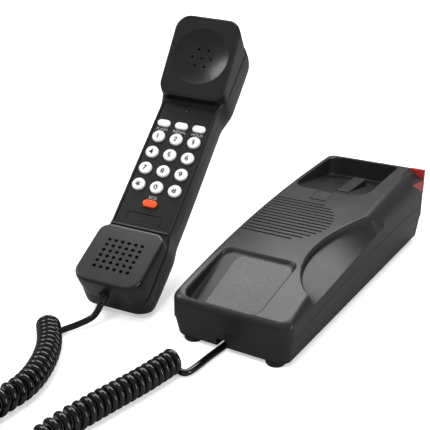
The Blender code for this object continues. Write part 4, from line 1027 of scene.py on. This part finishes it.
def dish_profile():
    """Section of the ear dish: part of a sphere with a rounded rim, closed above the face."""
    sphere = (DISH_RADIUS ** 2 + DISH_DEPTH ** 2) / (2 * DISH_DEPTH)
    limit = math.asin(DISH_RADIUS / sphere)
    profile = [(0, -DISH_DEPTH)]
    for i in range(1, 15):
        a = limit * i / 14
        profile.append((sphere * math.sin(a), sphere - DISH_DEPTH - sphere * math.cos(a)))
    rim = DISH_RADIUS + 0.7 * MM
    return profile + [(DISH_RADIUS + 0.25 * MM, 0.1 * MM), (rim, 0.5 * MM), (rim, 4 * MM), (0, 4 * MM)]


def moved(bm, x, y):
    bmesh.ops.translate(bm, verts=bm.verts, vec=(x, y, 0))
    return bm


def face_cutters():
    """What is cut out of the handset's face: the dish, the sound holes, the cord socket and the panel."""
    ear_turn, mouth_turn = math.degrees(math.atan(EAR_SLOPE)), math.degrees(math.atan(MOUTH_SLOPE))
    ear_place, mouth_place = (0, EAR_FACE_Y, EAR_FACE_Z), (0, MOUTH_FACE_Y, MOUTH_FACE_Z)
    dish = local("dish", lathe(dish_profile(), 80), ear_place, (ear_turn, 0, 0))
    holes = [cylinder(EAR_HOLE_RADIUS, -12 * MM, 2 * MM, 18) for _ in range(EAR_HOLES + 1)]
    for i, hole in enumerate(holes[1:]):
        a = math.tau * i / EAR_HOLES
        moved(hole, EAR_HOLE_RING * math.cos(a), EAR_HOLE_RING * math.sin(a))
    # the middle hole's flat sides are turned off the ring holes'
    bmesh.ops.rotate(holes[0], verts=holes[0].verts, matrix=Matrix.Rotation(EAR_HOLE_TURN, 3, "Z"))
    ear = local("ear_holes", merged(holes), ear_place, (ear_turn, 0, 0))
    grid = []
    for i in range(MOUTH_HOLES):
        for j in range(MOUTH_HOLES):
            shift = [(k - (MOUTH_HOLES - 1) / 2) * MOUTH_HOLE_PITCH for k in (i, j)]
            grid.append(moved(cylinder(MOUTH_HOLE_RADIUS, -5 * MM, 2 * MM, 18), *shift))
    mouth = local("mouth_holes", merged(grid), mouth_place, (mouth_turn, 0, 0))
    socket = local("socket", cylinder(3.4 * MM, -14 * MM, 6 * MM, 32), HANDSET_SOCKET, (90, 0, 0))
    panel = local("panel", prism(PANEL, (1.2 * MM,) * 4, lambda x, y: 0.0, lambda x, y: 4 * MM))
    plate = local("plate", box(*grown(NAME_PLATE, GAP), -0.8 * MM, 3 * MM))
    return [dish, ear, mouth, socket, panel, plate]


def oval(half, grow, z0, z1):
    a, b = half[0] + grow, half[1] + grow
    return prism((-a, a, -b, b), (b * 0.999,) * 4, lambda x, y: z0, lambda x, y: z1, 1)


def key_holes():
    bodies = []
    for _, x, y, half in key_places():
        body = oval(half, GAP, -6 * MM, 3 * MM) if half else cylinder(KEY_RADIUS + GAP, -6 * MM, 3 * MM, 40)
        bodies.append(moved(body, x, y))
    return local("key_holes", merged(bodies))


KEY_TOP = (
    (0, -0.75), (0.08, -0.45), (0.25, -0.2), (0.5, -0.05),
    (0.85, 0.02), (1.4, 0.0), (2.4, -0.1), (3.6, -0.16),
)  # a key's top from its edge inwards, as (inset, rise) in millimetres


def key_body(half):
    """A key with a softly rounded edge and a shallow finger dish on top."""
    if half is None:
        flange = KEY_RADIUS + KEY_FLANGE
        profile = [(0, -KEY_DEPTH), (flange, -KEY_DEPTH), (flange, KEY_FLANGE_TOP)]
        profile += [(KEY_RADIUS, KEY_FLANGE_TOP)]
        profile += [(KEY_RADIUS - inset * MM, KEY_PROUD + rise * MM) for inset, rise in KEY_TOP]
        return lathe(profile + [(0, KEY_PROUD - 0.19 * MM)], 48)
    a, b = half
    rings = []
    levels = [(OVAL_FLANGE, -KEY_DEPTH), (OVAL_FLANGE, KEY_FLANGE_TOP), (0, KEY_FLANGE_TOP)]
    levels += [(-inset * MM, KEY_PROUD + rise * MM) for inset, rise in KEY_TOP[:6]]
    for grow, z in levels:
        size = (-a - grow, a + grow, -b - grow, b + grow)
        rings.append(ring(outline(size, ((b + grow) * 0.999,) * 4, 1), lambda x, y, z=z: z))
    return loft(rings)


PRINT_HEIGHT = 0.06 * MM


def lettering(name, words, height, place, look, body="handset", weight=0.0):
    """Thin raised print that rides with the body it is printed on."""
    curve = bpy.data.curves.new(name, "FONT")
    curve.body, curve.size, curve.extrude, curve.offset = words, height * 1.42, PRINT_HEIGHT, weight
    curve.align_x, curve.align_y, curve.resolution_u = "CENTER", "CENTER", 3
    holder = bpy.data.objects.new(name + "_curve", curve)
    bpy.context.scene.collection.objects.link(holder)
    mesh = bpy.data.meshes.new_from_object(holder.evaluated_get(bpy.context.evaluated_depsgraph_get()))
    bpy.data.objects.remove(holder, do_unlink=True)
    bm = bmesh.new()
    bm.from_mesh(mesh)
    bmesh.ops.remove_doubles(bm, verts=bm.verts, dist=1e-7)
    dress(local(name, bm, place), look, body)


KEY_DIGITS = dict(zip("1234567890", "1234567890"), star="*", hash="#")
KEY_LETTERS = {"2": "ABC", "3": "DEF", "4": "GHI", "5": "JKL", "6": "MNO", "7": "PRS", "8": "TUV", "9": "WXY",
               "0": "OPER"}
FUNCTION_WORDS = {"flash": "FLASH", "redial": "REDIAL", "hold": "HOLD"}


def keys():
    for name, x, y, half in key_places():
        plain = name[4:]
        look = "orange" if plain == "sos" else "white"
        dress(local(name + "_cap", key_body(half), (x, y, 0)), look, name, name)
        if half is None:
            size, drop = (1.5, 1.6 * MM) if plain == "star" else (1.0, 0.4 * MM)
            place = (x - 0.5 * MM, y - drop, KEY_PROUD - 0.16 * MM)
            lettering(f"{name}_digit", KEY_DIGITS[plain], 3.7 * MM * size, place, "ink_dark", name, 0.14 * MM)
        if plain in KEY_LETTERS:
            place = (x - 0.1 * MM, y + 2.6 * MM, KEY_PROUD - 0.1 * MM)
            lettering(f"{name}_letters", KEY_LETTERS[plain], 1.0 * MM, place, "ink_faint", name)
        if plain in FUNCTION_WORDS:
            place = (x, y - 4.4 * MM, PRINT_HEIGHT)
            lettering(f"{name}_legend", FUNCTION_WORDS[plain], 2.0 * MM, place, "ink_light")
    lettering("sos_legend", "SOS", 2.3 * MM, (0, SOS_Y + 4.6 * MM, PRINT_HEIGHT), "ink_light")


def back_body(inset, top, steps):
    """The handset's rounded back, or the same form drawn in by inset for its hollow."""
    sides = handset_outline(inset)
    rings = []
    for i in range(steps):
        step = 5 - 4.9 * i / (steps - 1)
        a = math.radians(16 * step)
        width, depth = math.cos(a) ** 0.5, math.sin(a) ** 0.5
        drawn = [[(x * width, y * (1 - 0.008 * step)) for x, y in side] for side in sides]

        def height(x, y, k=depth):
            return PARTING + (min(back_line(y) + inset, PARTING - 0.6 * MM) - PARTING) * k

        rings.append(ring(drawn, height))
    return loft(rings + [ring(sides, lambda x, y: top)])


def handset_back():
    shell = local("handset_back_cover", back_body(0.0, PARTING - GAP / 2, 18))
    cutters = [local("hollow", back_body(SHELL_WALL, PARTING + 2 * MM, 6))]
    for y in (-62 * MM, 60 * MM):
        hole = stepped_hole(3.2 * MM, 1.8 * MM, -3 * MM, 1.1 * MM, 4 * MM)
        cutters.append(local("screw", hole, (0, y, back_line(y))))
    cut(shell, cutters)
    dress(shell, "handset", "handset", "handset_back_shell")


def panel_details():
    """The keypad panel's finer parts: its darker field, the ridge at its foot and the small bump."""
    field = local("keypad_field", prism(grown(PANEL, -0.3 * MM), (1.0 * MM,) * 4, lambda x, y: -0.6 * MM,
                                        lambda x, y: PRINT_HEIGHT))
    cut(field, [key_holes(), local("plate", box(*grown(NAME_PLATE, GAP), -0.8 * MM, 3 * MM))])
    dress(field, "panel", "handset")
    ends = PANEL[0] + 0.4 * MM, PANEL[1] - 0.4 * MM
    left, right = (Vector((x, PANEL[2] - 1.1 * MM, 0.9 * MM)) for x in ends)
    path = [left.lerp(right, k / 30) for k in range(31)]
    dress(tube("panel_foot_ridge", path, 0.75 * MM, 20, POSE), "handset", "handset")
    dome = [(1.5 * MM * math.cos(a), 0.8 * MM * math.sin(a)) for a in (0.0, 0.3, 0.6, 0.9, 1.2, 1.4)]
    bump = lathe([(0, -0.6 * MM)] + dome + [(0, 0.8 * MM)], 32)
    dress(local("panel_bump", bump, (0, 41.1 * MM, 0)), "handset", "handset")


def carried_over():
    """Procedural materials for the CAD pieces that are shown as they are."""
    looks = {"steel": ("base_screw", "handset_screw", "ballast_plate"), "rubber": ("foot_", "keypad_mat"),
             "board": ("base_circuit_board", "keypad_circuit_board"), "lens": ("message_led",),
             "black": ("ringer_speaker", "line_jack", "base_handset_jack", "base_cord_plug",
                       "hook_microswitch", "name_plate", "receiver_capsule", "microphone_capsule",
                       "handset_cord_plug")}
    for name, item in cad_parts.items():
        for look, starts in looks.items():
            if name.startswith(starts):
                item.data.materials.clear()
                item.data.materials.append(LOOKS[look])


# ---------------------------------------------------------------- scene


def area_light(name, place, aim, size, power, mirrored=True):
    """A rectangular light; one that is not mirrored leaves no highlight on glossy surfaces."""
    data = bpy.data.lights.new(name, "AREA")
    data.shape, data.size, data.size_y, data.energy = "RECTANGLE", *size, power
    lamp = bpy.data.objects.new(name, data)
    bpy.context.scene.collection.objects.link(lamp)
    lamp.location, lamp.visible_glossy = HOME @ Vector(place), mirrored
    lamp.rotation_euler = (Vector(aim) - Vector(place)).to_track_quat("-Z", "Y").to_euler()


def seen_directly(tree, otherwise, value):
    """One value for what the camera sees directly and another for reflections and light."""
    direct = tree.nodes.new("ShaderNodeLightPath").outputs["Is Camera Ray"]
    return combined(tree, "MULTIPLY_ADD", direct, value - otherwise, otherwise)


def combined(tree, operation, *values):
    """A sum or product of values."""
    made = node(tree, "ShaderNodeMath", operation)
    for value, socket in zip(values, made.inputs):
        feed(tree, value, socket)
    return made.outputs["Value"]


def sky():
    """White where the camera sees it, and a dim fill light for the object."""
    world = bpy.data.worlds.new("studio")
    world.use_nodes = True
    background = world.node_tree.nodes["Background"]
    background.inputs["Color"].default_value = (1, 1, 1, 1)
    feed(world.node_tree, seen_directly(world.node_tree, 0.24, 1.0), background.inputs["Strength"])
    bpy.context.scene.world = world
    bpy.context.scene.view_settings.view_transform = "Standard"


def floor_paint():
    """Pale paint that throws little light back and glows more for the camera further out, to meet the sky."""
    paint = bpy.data.materials.new("pale_floor")
    paint.use_nodes = True
    tree = paint.node_tree
    shade = ramp(tree, grain(tree, 6.0), (0.93, 0.93, 0.93), (0.95, 0.95, 0.95))
    dimmed = node(tree, "ShaderNodeVectorMath", "SCALE", Scale=seen_directly(tree, 0.3, 1.0))
    tree.links.new(shade, dimmed.inputs[0])
    distance = node(tree, "ShaderNodeVectorMath", "LENGTH")
    tree.links.new(tree.nodes.new("ShaderNodeTexCoord").outputs["Object"], distance.inputs[0])
    glow = node(tree, "ShaderNodeMapRange", Value=distance.outputs["Value"], From_Min=0.3, From_Max=1.0,
                To_Min=0.5, To_Max=1.2)
    strength = combined(tree, "MULTIPLY", seen_directly(tree, 0.0, 1.0), glow.outputs["Result"])
    finish = {
        "Base Color": dimmed.outputs["Vector"],
        "Roughness": 0.9,
        "Emission Color": (1, 1, 1, 1),
        "Emission Strength": strength,
    }
    for key, value in finish.items():
        feed(tree, value, tree.nodes["Principled BSDF"].inputs[key])
    return paint


def surroundings():
    sky()
    bm = bmesh.new()
    bmesh.ops.create_grid(bm, x_segments=2, y_segments=2, size=3.0)
    floor = mesh_object("floor", bm)
    floor.data.materials.append(floor_paint())
    area_light("overhead", (-0.30, 0.62, 1.05), (0.0, 0.0, 0.04), (1.0, 0.55), 9.5)
    area_light("right_edge", (1.3, 0.0, 0.5), (-0.04, 0.0, 0.08), (0.25, 0.9), 6)
    area_light("left_key", (-1.0, -0.3, 1.1), (-0.08, 0.0, 0.08), (0.5, 0.5), 5)
    area_light("face_fill", (0.1, -0.9, 1.2), (-0.08, 0.0, 0.08), (0.6, 0.6), 13, mirrored=False)


def camera():
    data = bpy.data.cameras.new("camera")
    data.sensor_width, data.lens, data.clip_start = 36.0, 67.47, 0.01
    made = bpy.data.objects.new("camera", data)
    bpy.context.scene.collection.objects.link(made)
    made.location = HOME @ Vector((0.19316, -0.43750, 0.22999))
    made.rotation_euler = [math.radians(a) for a in (68.89, 0, 31.31)]
    bpy.context.scene.camera = made


top_shell()
recess_panel()
bottom_shell()
lamp_pieces()
hook_pieces()
volume_slider()
hook_spring()
cord()
handset_front()
handset_back()
keys()
panel_details()
carried_over()
surroundings()
camera()
